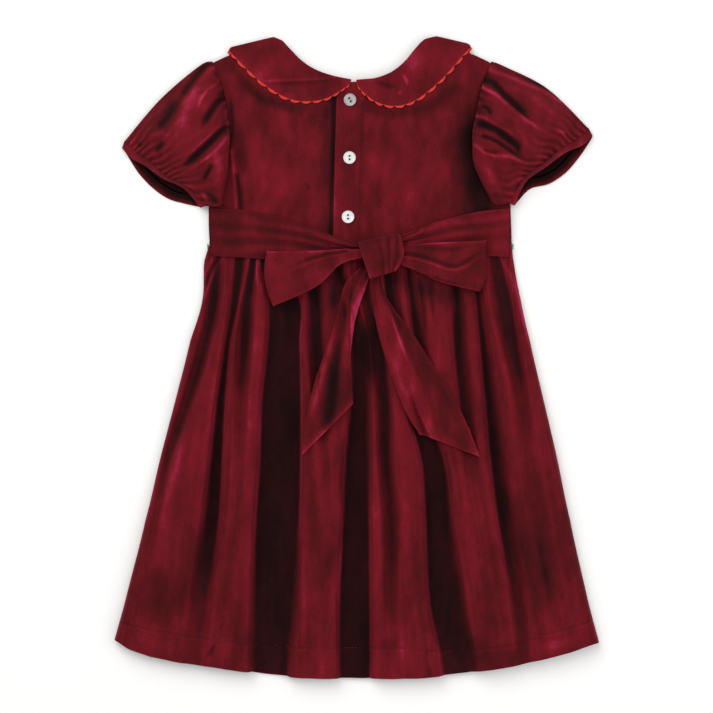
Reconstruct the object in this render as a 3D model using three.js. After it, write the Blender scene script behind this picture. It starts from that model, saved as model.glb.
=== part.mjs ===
// Toddler party dress in velvet, laid flat on its front with the back up.
// Millimetres. +Z is up, the neck is towards +Y, and the dress lies on z = 0.
// The origin is on the floor, under the middle of the outline.
import * as THREE from 'three';

// Cloth and the room between sewn layers
const CLOTH = 1.4;
const FRONT_CLOTH = 1.5;
const BRAID = 1;
const BAND = 1.2;
const GAP = 0.3;
const LAP_PLAY = 0.1;
const LAYER = CLOTH + 2 * GAP + LAP_PLAY;

// Heights of the lying layers
const FRONT_TOP = FRONT_CLOTH;
const BACK_BASE = FRONT_TOP + GAP + CLOTH;
const COLLAR_STACK = CLOTH + GAP + BRAID + GAP;

// The waist seam, and the inset trim of the front
const WAIST_Y = 97;
const TRIM_TOP = 100;
const TRIM_BOTTOM = 93.4;
const TRIM_LEFT = -129.3;
const TRIM_RIGHT = 137.8;
const TRIM_COLUMNS = 12;

// The front skirt's hem shows this far below the back's in the widest trough
const FRONT_INSET = 1;
const PEEP = 3.5;
const PEEP_X = -76;
const PEEP_REACH = 22;

// Skirt outline: y of each station down the skirt, with both side edges and the ridge height there
const SKIRT = {
  y: [97, 82, 49, 14, -38, -90, -142, -212, -280],
  left: [-128, -132, -133.5, -144, -157, -170.5, -183, -200.5, -217],
  right: [136.5, 138, 144, 152, 164, 176, 187, 202.5, 218.5],
  crest: [2.4, 4, 8, 11, 13.5, 14.5, 14.5, 13, 10.5],
};

// The hem's curve from side to side
const HEM = {
  x: [-209, -196, -179, -153, -118, -83, -48, -13, 21, 56, 91, 126, 160, 187, 211],
  y: [-247, -254.5, -260.5, -266, -271, -276, -279.5, -280, -280, -279.5, -275.5, -271, -264, -257, -249.5],
};

// Troughs of the gathered skirt, left to right. Each list has one value for each station of SKIRT:
// the trough's middle, how wide its floor is, and how much of the ridge height it loses.
const TROUGHS = [
  { x: [-117, -120, -124, -132, -146, -161, -172, -187, -198],
    width: [2, 4, 7, 6, 5, 4, 4, 4, 4],
    depth: [0.5, 0.6, 0.9, 0.8, 0.65, 0.5, 0.15, 0, 0] },
  { x: [-99, -100.5, -105, -111, -117, -122, -126, -138, -147],
    width: [2, 3, 4, 2, 3, 6, 10, 6, 8],
    depth: [0.6, 0.7, 0.9, 0.7, 0.65, 0.85, 0.95, 0.75, 0.65] },
  { x: [-87, -88, -94, -96, -98, -101, -105, -113, -120],
    width: [2, 3, 4, 3, 3, 3, 3, 3, 3],
    depth: [0.6, 0.8, 0.9, 0.8, 0.25, 0.1, 0, 0, 0] },
  { x: [-78, -80, -72, -62, -64, -66, -68, -77, -81],
    width: [2, 4, 12, 22, 25, 31, 34, 24, 28],
    depth: [0.7, 0.9, 1, 1, 1, 1, 1, 0.95, 0.9] },
  { x: [-50, -50, -47, -34, -29, -26, -22, -19, -17],
    width: [2, 3, 6, 9, 6, 5, 5, 5, 5],
    depth: [0.6, 0.7, 0.8, 0.9, 0.4, 0.15, 0.05, 0, 0] },
  { x: [-18, -16, -8, -1, 2, 0, 1, -1, -2],
    width: [2, 3, 4, 6, 8, 12, 17, 21, 22],
    depth: [0.6, 0.7, 0.7, 0.7, 0.8, 0.95, 1, 1, 0.9] },
  { x: [6, 6, 9, 13, 20, 26, 28, 33, 35],
    width: [2, 3, 4, 5, 8, 5, 8, 3, 3],
    depth: [0.6, 0.6, 0.6, 0.6, 0.8, 0.65, 0.5, 0.3, 0.15] },
  { x: [26, 27, 31, 39, 49, 66, 71, 79, 87],
    width: [2, 3, 6, 6, 9, 15, 17, 22, 25],
    depth: [0.6, 0.7, 0.8, 0.8, 0.8, 1, 1, 0.95, 0.9] },
  { x: [46, 46, 50, 55, 65, 80, 89, 100, 107],
    width: [2, 3, 3, 6, 5, 4, 4, 4, 4],
    depth: [0.6, 0.6, 0.7, 0.8, 0.4, 0, 0, 0, 0] },
  { x: [82, 83, 88, 90, 94, 100, 107, 117, 124],
    width: [2, 3, 4, 6, 7, 5, 4, 4, 4],
    depth: [0.6, 0.7, 0.8, 0.9, 0.85, 0.3, 0, 0, 0] },
  { x: [101, 102, 107, 110, 117, 122, 129, 143, 151],
    width: [2, 2, 2, 3, 8, 7, 7, 5, 5],
    depth: [0.6, 0.6, 0.7, 0.8, 0.9, 0.85, 0.8, 0.7, 0.5] },
  { x: [117, 119, 125, 134, 145, 149, 157, 169, 178],
    width: [3, 8, 14, 12, 4, 4, 4, 4, 4],
    depth: [0.6, 0.8, 0.9, 0.9, 0.35, 0.2, 0.1, 0, 0] },
];
const TROUGH_RUN = 6;
const EDGE_RUN = 15;
const SKIRT_ROWS = 12;
const SKIRT_COLUMN = 6.2;
const LEAST_COLUMNS = 4;
const FRONT_ROWS = 5;
const HEM_END = 1;

// Bodice outline from the waist up to the shoulder's neck point
const BODICE_LEFT = {
  y: [97, 101, 114, 131, 141, 152, 164, 176, 188, 213, 236, 256, 262, 269, 273],
  x: [-127.5, -127.3, -128, -128, -123, -117, -113, -110, -108.7, -110.5, -115.7, -123.5, -111, -88, -71],
};
const BODICE_RIGHT = {
  y: [97, 105, 119, 133, 137, 142, 153, 166, 178, 190, 214, 237, 256, 262, 269, 273],
  x: [136, 136, 135.5, 135, 128.3, 123.8, 111.5, 105, 101.6, 99.9, 103.9, 109, 117, 105, 84, 70],
};
const NECK_LEFT = { y: [238.5, 243, 249, 256, 264, 273], x: [-4, -22, -37, -48, -57, -64] };
const NECK_RIGHT = { y: [237.5, 240.5, 246, 255, 265, 273], x: [0, 17, 32, 43, 50, 58] };
const BODICE_TOP = 272.5;
const BODICE_ROWS = 12;
const LEFT_COLUMNS = 9;
// The back's crown: its rise over the edge band, its share left at the waist and at the neck,
// and how far up the waist's share runs and where the neck's begins and ends
const BODICE_CROWN = 3.6;
const BODICE_EDGE = 24;
const WAIST_SHARE = 0.6;
const WAIST_RUN = 30;
const NECK_SHARE = 0.2;
const NECK_FROM = 200;
const NECK_RUN = 60;

// The button placket: the right back lies on the left back between these
const PLACKET = { y: [97, 102, 180, 232, 240], edge: [-19.6, -19.6, -17.8, -16.2, -16] };
// Shares of the right back's width: where the left one's underlap ends, and where the step ends
const UNDERLAP = 0.17;
const STEP_END = 0.23;
const UNDERLAP_SETBACK = 1;
const RIGHT_COLUMNS = [0, 0.085, UNDERLAP, STEP_END, 0.34, 0.48, 0.62, 0.76, 0.87, 0.95, 1];

// The front's neckline is an arc under the back, and the front rises over the collar's front leaf
const FRONT_NECK = { x: -2.5, y: 267, width: 61, drop: 68, square: 0.8 };
const FRONT_ACROSS = 5;
const WAIST_EDGE = TRIM_TOP + GAP;
// The front's outline from the left shoulder by way of the waist to the right one, [x, y]
const FRONT_OUTLINE = [
  [-121, 254], [-115, 236], [-110, 213], [-108, 188], [-112, 163], [-122, 141], [-127, 130],
  [-127, WAIST_EDGE], [-90, WAIST_EDGE], [-45, WAIST_EDGE], [0, WAIST_EDGE], [45, WAIST_EDGE],
  [90, WAIST_EDGE], [135, WAIST_EDGE], [134, 132], [124.5, 142], [105.5, 166], [100, 190],
  [104, 214], [109, 237], [115, 254],
];
const LIFT_FROM = 138;
const LIFT_TO = 166;
const LIFT_LEAD = 14;

// Collar halves from the centre back, over the shoulder, to the centre front.
// neck and edge are the two sides of the leaf, and height is its own height above the floor there,
// counted from 1 on the back to 0 on the front leaf that lies on the floor.
const COLLAR_LEFT = [
  { neck: [-4, 241], edge: [-5, 236.6], height: 1 },
  { neck: [-10, 242], edge: [-12, 232], height: 1 },
  { neck: [-21, 244.5], edge: [-24, 225], height: 1 },
  { neck: [-31, 248], edge: [-40, 222], height: 1 },
  { neck: [-40, 252.5], edge: [-57, 224], height: 1 },
  { neck: [-48, 258.5], edge: [-74, 233], height: 1 },
  { neck: [-55, 265.5], edge: [-90, 246], height: 1 },
  { neck: [-61, 272], edge: [-104, 260], height: 1 },
  { neck: [-65, 277.3], edge: [-109.5, 266.5], height: 0.93 },
  { neck: [-66.5, 279.7], edge: [-111, 269], height: 0.5 },
  { neck: [-65.5, 277], edge: [-110, 266.3], height: 0.07 },
  { neck: [-62.5, 268], edge: [-106, 256], height: 0 },
  { neck: [-59, 248], edge: [-98, 233], height: 0 },
  { neck: [-52, 228], edge: [-84, 208], height: 0 },
  { neck: [-38, 212], edge: [-60, 190], height: 0 },
  { neck: [-20, 204], edge: [-30, 181], height: 0 },
  { neck: [-5, 202], edge: [-8, 186], height: 0 },
];
const COLLAR_RIGHT = [
  { neck: [1, 240.5], edge: [1.5, 236], height: 1 },
  { neck: [7, 241], edge: [8, 228.5], height: 1 },
  { neck: [17, 242], edge: [20, 220.5], height: 1 },
  { neck: [27, 245.5], edge: [36, 218], height: 1 },
  { neck: [35, 250], edge: [52, 223], height: 1 },
  { neck: [43, 257], edge: [68, 235], height: 1 },
  { neck: [50, 265.5], edge: [82, 249], height: 1 },
  { neck: [57, 273.5], edge: [94, 263], height: 1 },
  { neck: [63, 278.5], edge: [99.5, 269.5], height: 0.93 },
  { neck: [65.5, 280.3], edge: [101, 272], height: 0.5 },
  { neck: [63, 278], edge: [99.5, 269], height: 0.07 },
  { neck: [58, 269], edge: [96, 258], height: 0 },
  { neck: [54, 248], edge: [89, 234], height: 0 },
  { neck: [47, 228], edge: [77, 208], height: 0 },
  { neck: [33, 212], edge: [54, 190], height: 0 },
  { neck: [15, 204], edge: [25, 181], height: 0 },
  { neck: [1, 202], edge: [3, 186], height: 0 },
];
const COLLAR_LEVEL_Y = 267;
const COLLAR_STEPS = 2;
const COLLAR_ACROSS = 3;
// The leaf bridges the placket's step: how far it rises before it, and where it comes down again
const BRIDGE = { before: 16, rise: 13, from: 16, fall: 16 };

// Scalloped braid under the collar's edge
const SCALLOPS = 27;
const BRAID_INSIDE = 3.2;
const SCALLOP_PROUD = [0.4, 2.1, 2.7, 2.1];

// Puff sleeves, a row for each place round the armhole from the shoulder to the underarm.
// seam is on the armhole, swell is just past it, crown is the puff's top, gather is where the cuff
// begins and cuff is its open edge, each [x, y, z]. sole and hem are those two again on the half
// that lies on the floor, [x, y].
const SLEEVE_LEFT = [
  { seam: [-124.5, 257, 5], swell: [-136, 253, 5.4], crown: [-170, 224, 5], gather: [-201.5, 187, 4.8],
    cuff: [-203.5, 181.5, 4.4], sole: [-199, 188], hem: [-203, 182] },
  { seam: [-116.5, 236, 7], swell: [-127, 229, 19], crown: [-160, 207, 25], gather: [-191, 178, 13],
    cuff: [-195, 172.5, 7.5], sole: [-191, 177], hem: [-197, 172] },
  { seam: [-111.4, 213, 7], swell: [-119, 205, 24], crown: [-146, 187, 34], gather: [-178.5, 169, 18],
    cuff: [-182, 165, 11], sole: [-180, 161], hem: [-186, 156] },
  { seam: [-109.6, 188, 6.5], swell: [-112.5, 182, 24], crown: [-132, 170, 34], gather: [-166, 157, 18],
    cuff: [-167.5, 154.5, 11], sole: [-163, 146.5], hem: [-168, 140] },
  { seam: [-114, 163, 6], swell: [-111, 160, 19], crown: [-120, 150, 27], gather: [-149, 148.5, 14.5],
    cuff: [-149.5, 146, 8.5], sole: [-147, 140.5], hem: [-149.5, 133.5] },
  { seam: [-124.6, 141, 7], swell: [-117, 134, 14], crown: [-119.5, 130, 14], gather: [-130.5, 131, 10],
    cuff: [-135, 129.5, 7], sole: [-131.5, 133], hem: [-136, 130.5] },
];
const SLEEVE_RIGHT = [
  { seam: [118.5, 257, 5], swell: [130, 252.5, 5.4], crown: [167.5, 233, 5], gather: [203.5, 198, 4.8],
    cuff: [206.5, 192.5, 4.4], sole: [202, 198], hem: [207, 192] },
  { seam: [110.4, 237, 7], swell: [122, 230.5, 19], crown: [160, 213, 25], gather: [194, 189, 13],
    cuff: [198, 184, 7.5], sole: [195, 188], hem: [201.5, 183] },
  { seam: [105.4, 214, 7], swell: [114, 208, 24], crown: [147, 193, 34], gather: [179.5, 180.5, 18],
    cuff: [182.5, 177, 11], sole: [184.5, 173], hem: [190, 167.5] },
  { seam: [101.6, 190, 6.5], swell: [105.5, 186, 24], crown: [131, 175, 34], gather: [163, 167, 18],
    cuff: [165.5, 164.5, 11], sole: [169.5, 159.5], hem: [173.5, 152.5] },
  { seam: [107, 165, 6], swell: [103, 166, 19], crown: [115, 152, 27], gather: [146.5, 154.5, 14.5],
    cuff: [148.5, 152, 8.5], sole: [150, 153], hem: [152, 146] },
  { seam: [126.6, 142, 7], swell: [117, 139.5, 14], crown: [121.5, 132, 14], gather: [133.5, 133, 10],
    cuff: [138.5, 131.5, 7], sole: [134.5, 135], hem: [139.5, 132.5] },
];
const SLEEVE_CLOTH = 1.1;
const SLEEVE_TOP = 24;
const SLEEVE_SOLE = 6;
const SLEEVE_ROWS = 7;
const SLEEVE_PLEATS = 7;
const PLEAT_RISE = [0.7, 1.6, 1.8, 0.5];
const SOLE_MARGIN = 0.06;
// Where the wall comes down at the underarm: its height, how far it still leans to the puff,
// and the most of the puff's height there that it takes
const HEEL = [{ z: 8, lean: 0.5, most: 0.55 }, { z: 1.8, lean: 0, most: 0.3 }];
const CUFF_CLOTH = 1.1;
const CUFF_GAP = 0.9;

// Sash halves from the side seam to the knot
const SASH_LEFT = {
  x: [-126, -96, -66, -40, -20, 0, 13],
  top: [129, 127.5, 121.5, 113, 105, 98, 96],
  bottom: [87.5, 86, 83.5, 84, 86, 88, 88],
};
const SASH_RIGHT = {
  x: [134, 108, 87, 65, 42, 28],
  top: [129, 126, 121.5, 115.5, 106, 99],
  bottom: [86.5, 88, 87.5, 86, 85, 87],
};
const SASH_COLUMNS = 12;
const SASH_ROWS = 12;
const SASH_FOLDS = 3;
const SASH_FOLD_RISE = [0.5, 1.3];
const SASH_CLEAR = 0.9;
const SASH_REACH = 4.5;

// Bow loops: stations of the band from under the knot, out to the fold and back on top.
// upper and lower are the band's two edges, z is the height of its outer face.
const LOOP_LEFT = [
  { upper: [10, 89], lower: [10, 78], z: 13 },
  { upper: [-36, 90], lower: [-34, 63], z: 12 },
  { upper: [-71, 91], lower: [-66, 50], z: 11.2 },
  { upper: [-77, 92.5], lower: [-72, 46], z: 13.4 },
  { upper: [-72, 92.5], lower: [-67, 47], z: 16.2 },
  { upper: [-38, 92], lower: [-34, 59], z: 17.2 },
  { upper: [-12, 92], lower: [-12, 77], z: 18 },
  { upper: [10, 91], lower: [10, 80], z: 17 },
];
const LOOP_RIGHT = [
  { upper: [34, 92], lower: [34, 80], z: 11.6 },
  { upper: [70, 94], lower: [70, 68], z: 10.8 },
  { upper: [106, 98], lower: [101, 59], z: 10.6 },
  { upper: [112.5, 100], lower: [107, 58], z: 13 },
  { upper: [108, 100], lower: [104, 64], z: 15.8 },
  { upper: [72, 98], lower: [72, 76], z: 16.8 },
  { upper: [46, 95.5], lower: [46, 83], z: 17.4 },
  { upper: [34, 94], lower: [34, 83], z: 16.6 },
];
const LOOP_STEPS = 2;
const LOOP_ACROSS = 6;

// The knot: stations down its face, from the tucked top edge to the tucked lower edge
const KNOT = [
  { left: [2, 100], right: [37, 107], z: 9.2 },
  { left: [2.5, 98], right: [39, 105], z: 18.5 },
  { left: [4, 92], right: [41, 99], z: 23.5 },
  { left: [7, 83], right: [42, 89], z: 25 },
  { left: [10, 74], right: [39, 80], z: 23.5 },
  { left: [12, 68.5], right: [36, 75.5], z: 20 },
  { left: [13, 67], right: [35, 74], z: 13.9 },
];
const KNOT_STEPS = 2;
const KNOT_ACROSS = 10;
const KNOT_PLEATS = 3;
const KNOT_PLEAT_RISE = 1;
const KNOT_PLEATS_FROM = 0.55;
const KNOT_PLEATS_LEAD = 0.2;

// Bow tails from the knot down over the skirt to their slanted ends, [x, y]
const TAIL_LEFT = [
  { left: [4, 77], right: [14, 75] },
  { left: [-8, 65], right: [9, 60] },
  { left: [-13, 50], right: [3, 43] },
  { left: [-17, 34], right: [-1, 27] },
  { left: [-26, 6], right: [-4, 2] },
  { left: [-36, -24], right: [-3, -18] },
  { left: [-43, -52], right: [-2.5, -32] },
  { left: [-47, -86], right: [-2, -41] },
];
const TAIL_RIGHT = [
  { left: [15.5, 75], right: [22, 77] },
  { left: [14, 60], right: [24, 58] },
  { left: [16, 40], right: [34, 41] },
  { left: [20, 19], right: [49, 21] },
  { left: [28, -7], right: [66, -5] },
  { left: [39, -38], right: [83, -31] },
  { left: [48, -56], right: [96, -57] },
  { left: [56, -67], right: [108, -87] },
];
const TAIL_STEPS = 2;
const TAIL_ACROSS = 7;
const TAIL_FOLDS = 1.5;
const TAIL_FOLD_RISE = 1.4;
const TAIL_CLEAR = 0.1;
const TAIL_REACH = 7;

// Buttons, top to bottom, with the turn of each one's pair of holes
const BUTTONS = [
  { x: -4.8, y: 223, turn: 0.5 },
  { x: -5.2, y: 172.7, turn: 0 },
  { x: -6.5, y: 121.4, turn: 0 },
];
const BUTTON_RADIUS = 5.4;
const BUTTON_EDGE = 0.5;
const BUTTON_HEIGHT = 1.3;
const HOLE_RADIUS = 0.85;
const HOLE_SPREAD = 1.5;
const BUTTON_SIDES = 16;

const VELVET = { color: 0x65151f, roughness: 0.9 };
const BRAID_RED = { color: 0xf03a20, roughness: 0.7 };
const BUTTON_WHITE = { color: 0xf1eeea, roughness: 0.35 };
const TRIM_WHITE = { color: 0xdfeee4, roughness: 0.75 };

const clamp = (value) => Math.min(1, Math.max(0, value));
const ease = (value) => clamp(value) ** 2 * (3 - 2 * clamp(value));
const clampTo = (index, count) => Math.min(Math.max(index, 0), count - 1);
const mix = (a, b, share) => a + (b - a) * share;

// A curve through a list of numbers, read at a fractional index
function through(list, index) {
  const at = Math.min(Math.max(Math.floor(index), 0), list.length - 2);
  const share = Math.min(Math.max(index - at, 0), 1);
  const before = list[Math.max(at - 1, 0)];
  const from = list[at];
  const to = list[at + 1];
  const after = list[Math.min(at + 2, list.length - 1)];
  const bend = 2 * before - 5 * from + 4 * to - after;
  const twist = 3 * from - before - 3 * to + after;
  return 0.5 * (2 * from + (to - before) * share + bend * share ** 2 + twist * share ** 3);
}

// The fractional index at which a list that rises or falls all the way reaches a value
function indexOf(list, value) {
  const sign = Math.sign(list[list.length - 1] - list[0]);
  let at = 0;
  while (at < list.length - 2 && (value - list[at + 1]) * sign > 0) at += 1;
  return at + clamp((value - list[at]) / (list[at + 1] - list[at]));
}

// The same between two lists: straight pieces, for outlines with corners
function straight(keys, values, key) {
  const index = indexOf(keys, key);
  const at = Math.min(Math.floor(index), values.length - 2);
  return mix(values[at], values[at + 1], index - at);
}

// One closed body between two grids of points, which are lists of rows.
// In a ring the last column joins the first.
function closedBody(outer, inner, ring = false) {
  const rows = outer.length;
  const columns = outer[0].length;
  const points = [...outer.flat(), ...inner.flat()];
  const count = rows * columns;
  const faces = [];
  const quad = (a, b, c, d) => faces.push(a, b, c, a, c, d);
  const spans = ring ? columns : columns - 1;
  for (let i = 0; i < spans; i += 1) {
    const next = (i + 1) % columns;
    for (let j = 0; j < rows - 1; j += 1) {
      const here = j * columns;
      const there = here + columns;
      quad(here + i, here + next, there + next, there + i);
      quad(count + here + i, count + there + i, count + there + next, count + here + next);
    }
    const last = (rows - 1) * columns;
    quad(i, count + i, count + next, next);
    quad(last + i, last + next, count + last + next, count + last + i);
  }
  for (let j = 0; j < rows - 1 && !ring; j += 1) {
    const here = j * columns;
    const there = here + columns;
    const end = columns - 1;
    quad(here, there, count + there, count + here);
    quad(here + end, count + here + end, count + there + end, there + end);
  }
  return facingOut(points, faces);
}

// Turns the faces round if they enclose a negative volume
function facingOut(points, faces) {
  let volume = 0;
  for (let f = 0; f < faces.length; f += 3) {
    const [a, b, c] = [points[faces[f]], points[faces[f + 1]], points[faces[f + 2]]];
    volume += a.dot(b.clone().cross(c));
  }
  if (volume < 0) faces.reverse();
  const geometry = new THREE.BufferGeometry();
  geometry.setAttribute('position', new THREE.Float32BufferAttribute(points.flatMap((p) => p.toArray()), 3));
  geometry.setIndex(faces);
  return geometry;
}

function grid(rows, columns, pointAt) {
  return Array.from({ length: rows + 1 }, (_, j) =>
    Array.from({ length: columns + 1 }, (__, i) => pointAt(i / columns, j / rows, i, j)));
}

// A cloth wall under a surface that only lies, never stands: z alone is moved, more where it is steep
function lyingWall(top, heightAt, thickness, rest) {
  const step = 0.6;
  const steepest = 2.3;
  const under = top.map((row) => row.map((p) => {
    const slopeX = (heightAt(p.x + step, p.y) - heightAt(p.x - step, p.y)) / (2 * step);
    const slopeY = (heightAt(p.x, p.y + step) - heightAt(p.x, p.y - step)) / (2 * step);
    const drop = thickness * Math.min(steepest, Math.hypot(1, slopeX, slopeY));
    return new THREE.Vector3(p.x, p.y, Math.max(rest(p.x, p.y), p.z - drop));
  }));
  return closedBody(top, under);
}

// The normals of a surface, each softened by its neighbours so that tight folds stay open inside
function softNormals(surface, ring) {
  const rows = surface.length;
  const columns = surface[0].length;
  const beside = (i, step) => (ring ? (i + step + columns) % columns : clampTo(i + step, columns));
  const sharp = surface.map((row, j) => row.map((_, i) => {
    const across = row[beside(i, 1)].clone().sub(row[beside(i, -1)]);
    const along = surface[clampTo(j + 1, rows)][i].clone().sub(surface[clampTo(j - 1, rows)][i]);
    return across.cross(along).normalize();
  }));
  return sharp.map((row, j) => row.map((normal, i) => {
    const soft = normal.clone().multiplyScalar(2).add(row[beside(i, 1)]).add(row[beside(i, -1)]);
    return soft.add(sharp[clampTo(j + 1, rows)][i]).add(sharp[clampTo(j - 1, rows)][i]).normalize();
  }));
}

// A surface moved along its normals, for the other face of a cloth wall
function shifted(surface, distance, ring = false) {
  const normals = softNormals(surface, ring);
  return surface.map((row, j) => row.map((p, i) => p.clone().addScaledVector(normals[j][i], distance)));
}

function piece(name, geometry, finish) {
  const mesh = new THREE.Mesh(geometry, new THREE.MeshStandardMaterial({ ...finish, metalness: 0 }));
  mesh.name = name;
  return mesh;
}

// Extra height of the front, and of all that lies on it, over the collar's front leaves
const frontLift = (y) => COLLAR_STACK * ease((y - LIFT_FROM) / (LIFT_TO - LIFT_FROM));

// The back starts to rise sooner, so that it stays clear of the front on the slope
const backLift = (y) => frontLift(y + LIFT_LEAD);

// The skirt

function skirtFold(x, y) {
  const station = indexOf(SKIRT.y, y);
  let height = through(SKIRT.crest, station);
  for (const trough of TROUGHS) {
    const away = Math.abs(x - through(trough.x, station)) - through(trough.width, station) / 2;
    height *= 1 - clamp(through(trough.depth, station)) * (1 - ease(away / TROUGH_RUN));
  }
  const left = through(SKIRT.left, station);
  const right = through(SKIRT.right, station);
  const inset = clamp(Math.min(x - left, right - x) / EDGE_RUN);
  return height * Math.sqrt(1 - (1 - inset) ** 2);
}

const skirtHeight = (x, y) => BACK_BASE + skirtFold(x, y);

const peep = (x) => PEEP * ease(1 - Math.abs(x - PEEP_X) / PEEP_REACH);

// A place in the skirt: across runs over the tracks of the side edges and troughs, down from 0 to 1
function skirtPlace(across, down, top, hemRise) {
  let y = mix(top, HEM.y[0], down);
  let x = 0;
  for (let pass = 0; pass < 4; pass += 1) {
    const station = indexOf(SKIRT.y, y);
    const tracks = [SKIRT.left, ...TROUGHS.map((trough) => trough.x), SKIRT.right];
    const at = Math.min(Math.floor(across), tracks.length - 2);
    x = mix(through(tracks[at], station), through(tracks[at + 1], station), across - at);
    y = mix(top, straight(HEM.x, HEM.y, x) + hemRise(x), down);
  }
  return [x, y];
}

// Columns follow the troughs, and the space between two troughs is cut evenly
function skirtColumns(spacing) {
  const hemOf = (list) => list[list.length - 1 - HEM_END];
  const tracks = [SKIRT.left, ...TROUGHS.map((trough) => trough.x), SKIRT.right].map(hemOf);
  const columns = [];
  for (let at = 0; at < tracks.length - 1; at += 1) {
    const pieces = Math.max(LEAST_COLUMNS, Math.round((tracks[at + 1] - tracks[at]) / spacing));
    for (let k = 0; k < pieces; k += 1) columns.push(at + k / pieces);
  }
  return [...columns, tracks.length - 1];
}

function skirtBack() {
  const columns = skirtColumns(SKIRT_COLUMN);
  const top = grid(SKIRT_ROWS, columns.length - 1, (_, down, i) => {
    const [x, y] = skirtPlace(columns[i], down, WAIST_Y - GAP / 2, peep);
    return new THREE.Vector3(x, y, skirtHeight(x, y));
  });
  return lyingWall(top, skirtHeight, CLOTH, () => FRONT_TOP + GAP);
}

function skirtFront() {
  const spans = TROUGHS.length + 1;
  const top = grid(FRONT_ROWS, spans, (across, down) => {
    const [x, y] = skirtPlace(across * spans, down, TRIM_BOTTOM - GAP, () => 0);
    return new THREE.Vector3(x - Math.sign(across - 0.5) * FRONT_INSET, y, FRONT_TOP);
  });
  return lyingWall(top, () => FRONT_TOP, FRONT_CLOTH, () => 0);
}

// The bodice

const armLeft = (y) => straight(BODICE_LEFT.y, BODICE_LEFT.x, y);
const armRight = (y) => straight(BODICE_RIGHT.y, BODICE_RIGHT.x, y);

// Height of the under panel of the back
function bodiceHeight(x, y) {
  const inset = clamp(Math.min(x - armLeft(y), armRight(y) - x) / BODICE_EDGE);
  const crown = BODICE_CROWN * Math.sqrt(1 - (1 - inset) ** 2);
  const waistward = mix(WAIST_SHARE, 1, ease((y - WAIST_Y) / WAIST_RUN));
  const neckward = mix(1, NECK_SHARE, ease((y - NECK_FROM) / NECK_RUN));
  return BACK_BASE + backLift(y) + crown * waistward * neckward;
}

const placketEdge = (y) => straight(PLACKET.y, PLACKET.edge, y);

// The right back steps up over the left one's underlap
function rightHeight(x, y) {
  const share = (x - placketEdge(y)) / (armRight(y) - placketEdge(y));
  return bodiceHeight(x, y) + LAYER * (1 - ease((share - UNDERLAP) / (STEP_END - UNDERLAP)));
}

// The top face of the back, whichever panel it is
const backHeight = (x, y) => (x > placketEdge(y) - GAP * 2 ? rightHeight(x, y) : bodiceHeight(x, y));

// A back panel from side to side, with the given shares of its width as columns
function backPanel(leftAt, rightAt, heightAt, columns) {
  const top = grid(BODICE_ROWS, columns.length - 1, (_, up, i) => {
    const y = mix(WAIST_Y + GAP / 2, BODICE_TOP, up);
    const x = mix(leftAt(y), rightAt(y), columns[i]);
    return new THREE.Vector3(x, y, heightAt(x, y));
  });
  return lyingWall(top, heightAt, CLOTH, (x, y) => FRONT_TOP + backLift(y) + GAP);
}

function bodiceBackLeft() {
  const underlap = (y) => mix(placketEdge(y), armRight(y), UNDERLAP) - UNDERLAP_SETBACK;
  const neck = (y) => straight(NECK_LEFT.y, NECK_LEFT.x, y);
  const rightAt = (y) => (y < NECK_LEFT.y[0] ? underlap(y) : Math.min(underlap(y), neck(y)));
  const columns = Array.from({ length: LEFT_COLUMNS + 1 }, (_, i) => i / LEFT_COLUMNS);
  return backPanel(armLeft, rightAt, bodiceHeight, columns);
}

function bodiceBackRight() {
  const neck = (y) => straight(NECK_RIGHT.y, NECK_RIGHT.x, y);
  const leftAt = (y) => (y < NECK_RIGHT.y[0] ? placketEdge(y) : Math.max(placketEdge(y), neck(y)));
  return backPanel(leftAt, armRight, rightHeight, RIGHT_COLUMNS);
}

// The front goes round its neckline: the inner row is the neck's arc, the outer row the outline
function bodiceFront() {
  const inset = FRONT_INSET / 2;
  const last = FRONT_OUTLINE.length - 1;
  const top = grid(last, FRONT_ACROSS, (outward, along, i, j) => {
    const angle = Math.PI * along;
    const neckX = FRONT_NECK.x - FRONT_NECK.width * Math.cos(angle);
    const neckY = FRONT_NECK.y - FRONT_NECK.drop * Math.sin(angle) ** FRONT_NECK.square;
    const [edgeX, edgeY] = FRONT_OUTLINE[j];
    const x = mix(neckX, edgeX - Math.sign(edgeX) * inset, outward);
    const y = mix(neckY, edgeY, outward);
    return new THREE.Vector3(x, y, FRONT_TOP + frontLift(y));
  });
  return lyingWall(top, (x, y) => FRONT_TOP + frontLift(y), FRONT_CLOTH, (x, y) => frontLift(y));
}

function frontWaistTrim() {
  const top = grid(1, TRIM_COLUMNS, (across, down) =>
    new THREE.Vector3(mix(TRIM_LEFT, TRIM_RIGHT, across), mix(TRIM_TOP, TRIM_BOTTOM, down), FRONT_TOP));
  return lyingWall(top, () => FRONT_TOP, FRONT_CLOTH, () => 0);
}

// The collar

// What the back leaf lies on: the back panels, with the step between them bridged
function collarBed(x, y) {
  const rise = ease((x - placketEdge(y) + BRIDGE.before) / BRIDGE.rise);
  return bodiceHeight(x, y) + LAYER * rise * (1 - ease((x - BRIDGE.from) / BRIDGE.fall));
}

// Leaf surface: along counts the stations, out runs from the neck seam to the outer edge
function collarPlace(stations, along, out) {
  const read = (pick) => through(stations.map(pick), along);
  const x = mix(read((s) => s.neck[0]), read((s) => s.edge[0]), out);
  const y = mix(read((s) => s.neck[1]), read((s) => s.edge[1]), out);
  const share = clamp(read((s) => s.height));
  const back = collarBed(x, Math.min(y, COLLAR_LEVEL_Y)) + COLLAR_STACK;
  return new THREE.Vector3(x, y, mix(0, back, share));
}

function collarSurface(stations, from, to, columns) {
  const rows = (stations.length - 1) * COLLAR_STEPS;
  return grid(rows, columns, (across, down) =>
    collarPlace(stations, down * (stations.length - 1), mix(from, to, across)));
}

function collar(stations, side) {
  const face = collarSurface(stations, 0, 1, COLLAR_ACROSS);
  return closedBody(face, shifted(face, side * CLOTH));
}

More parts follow.
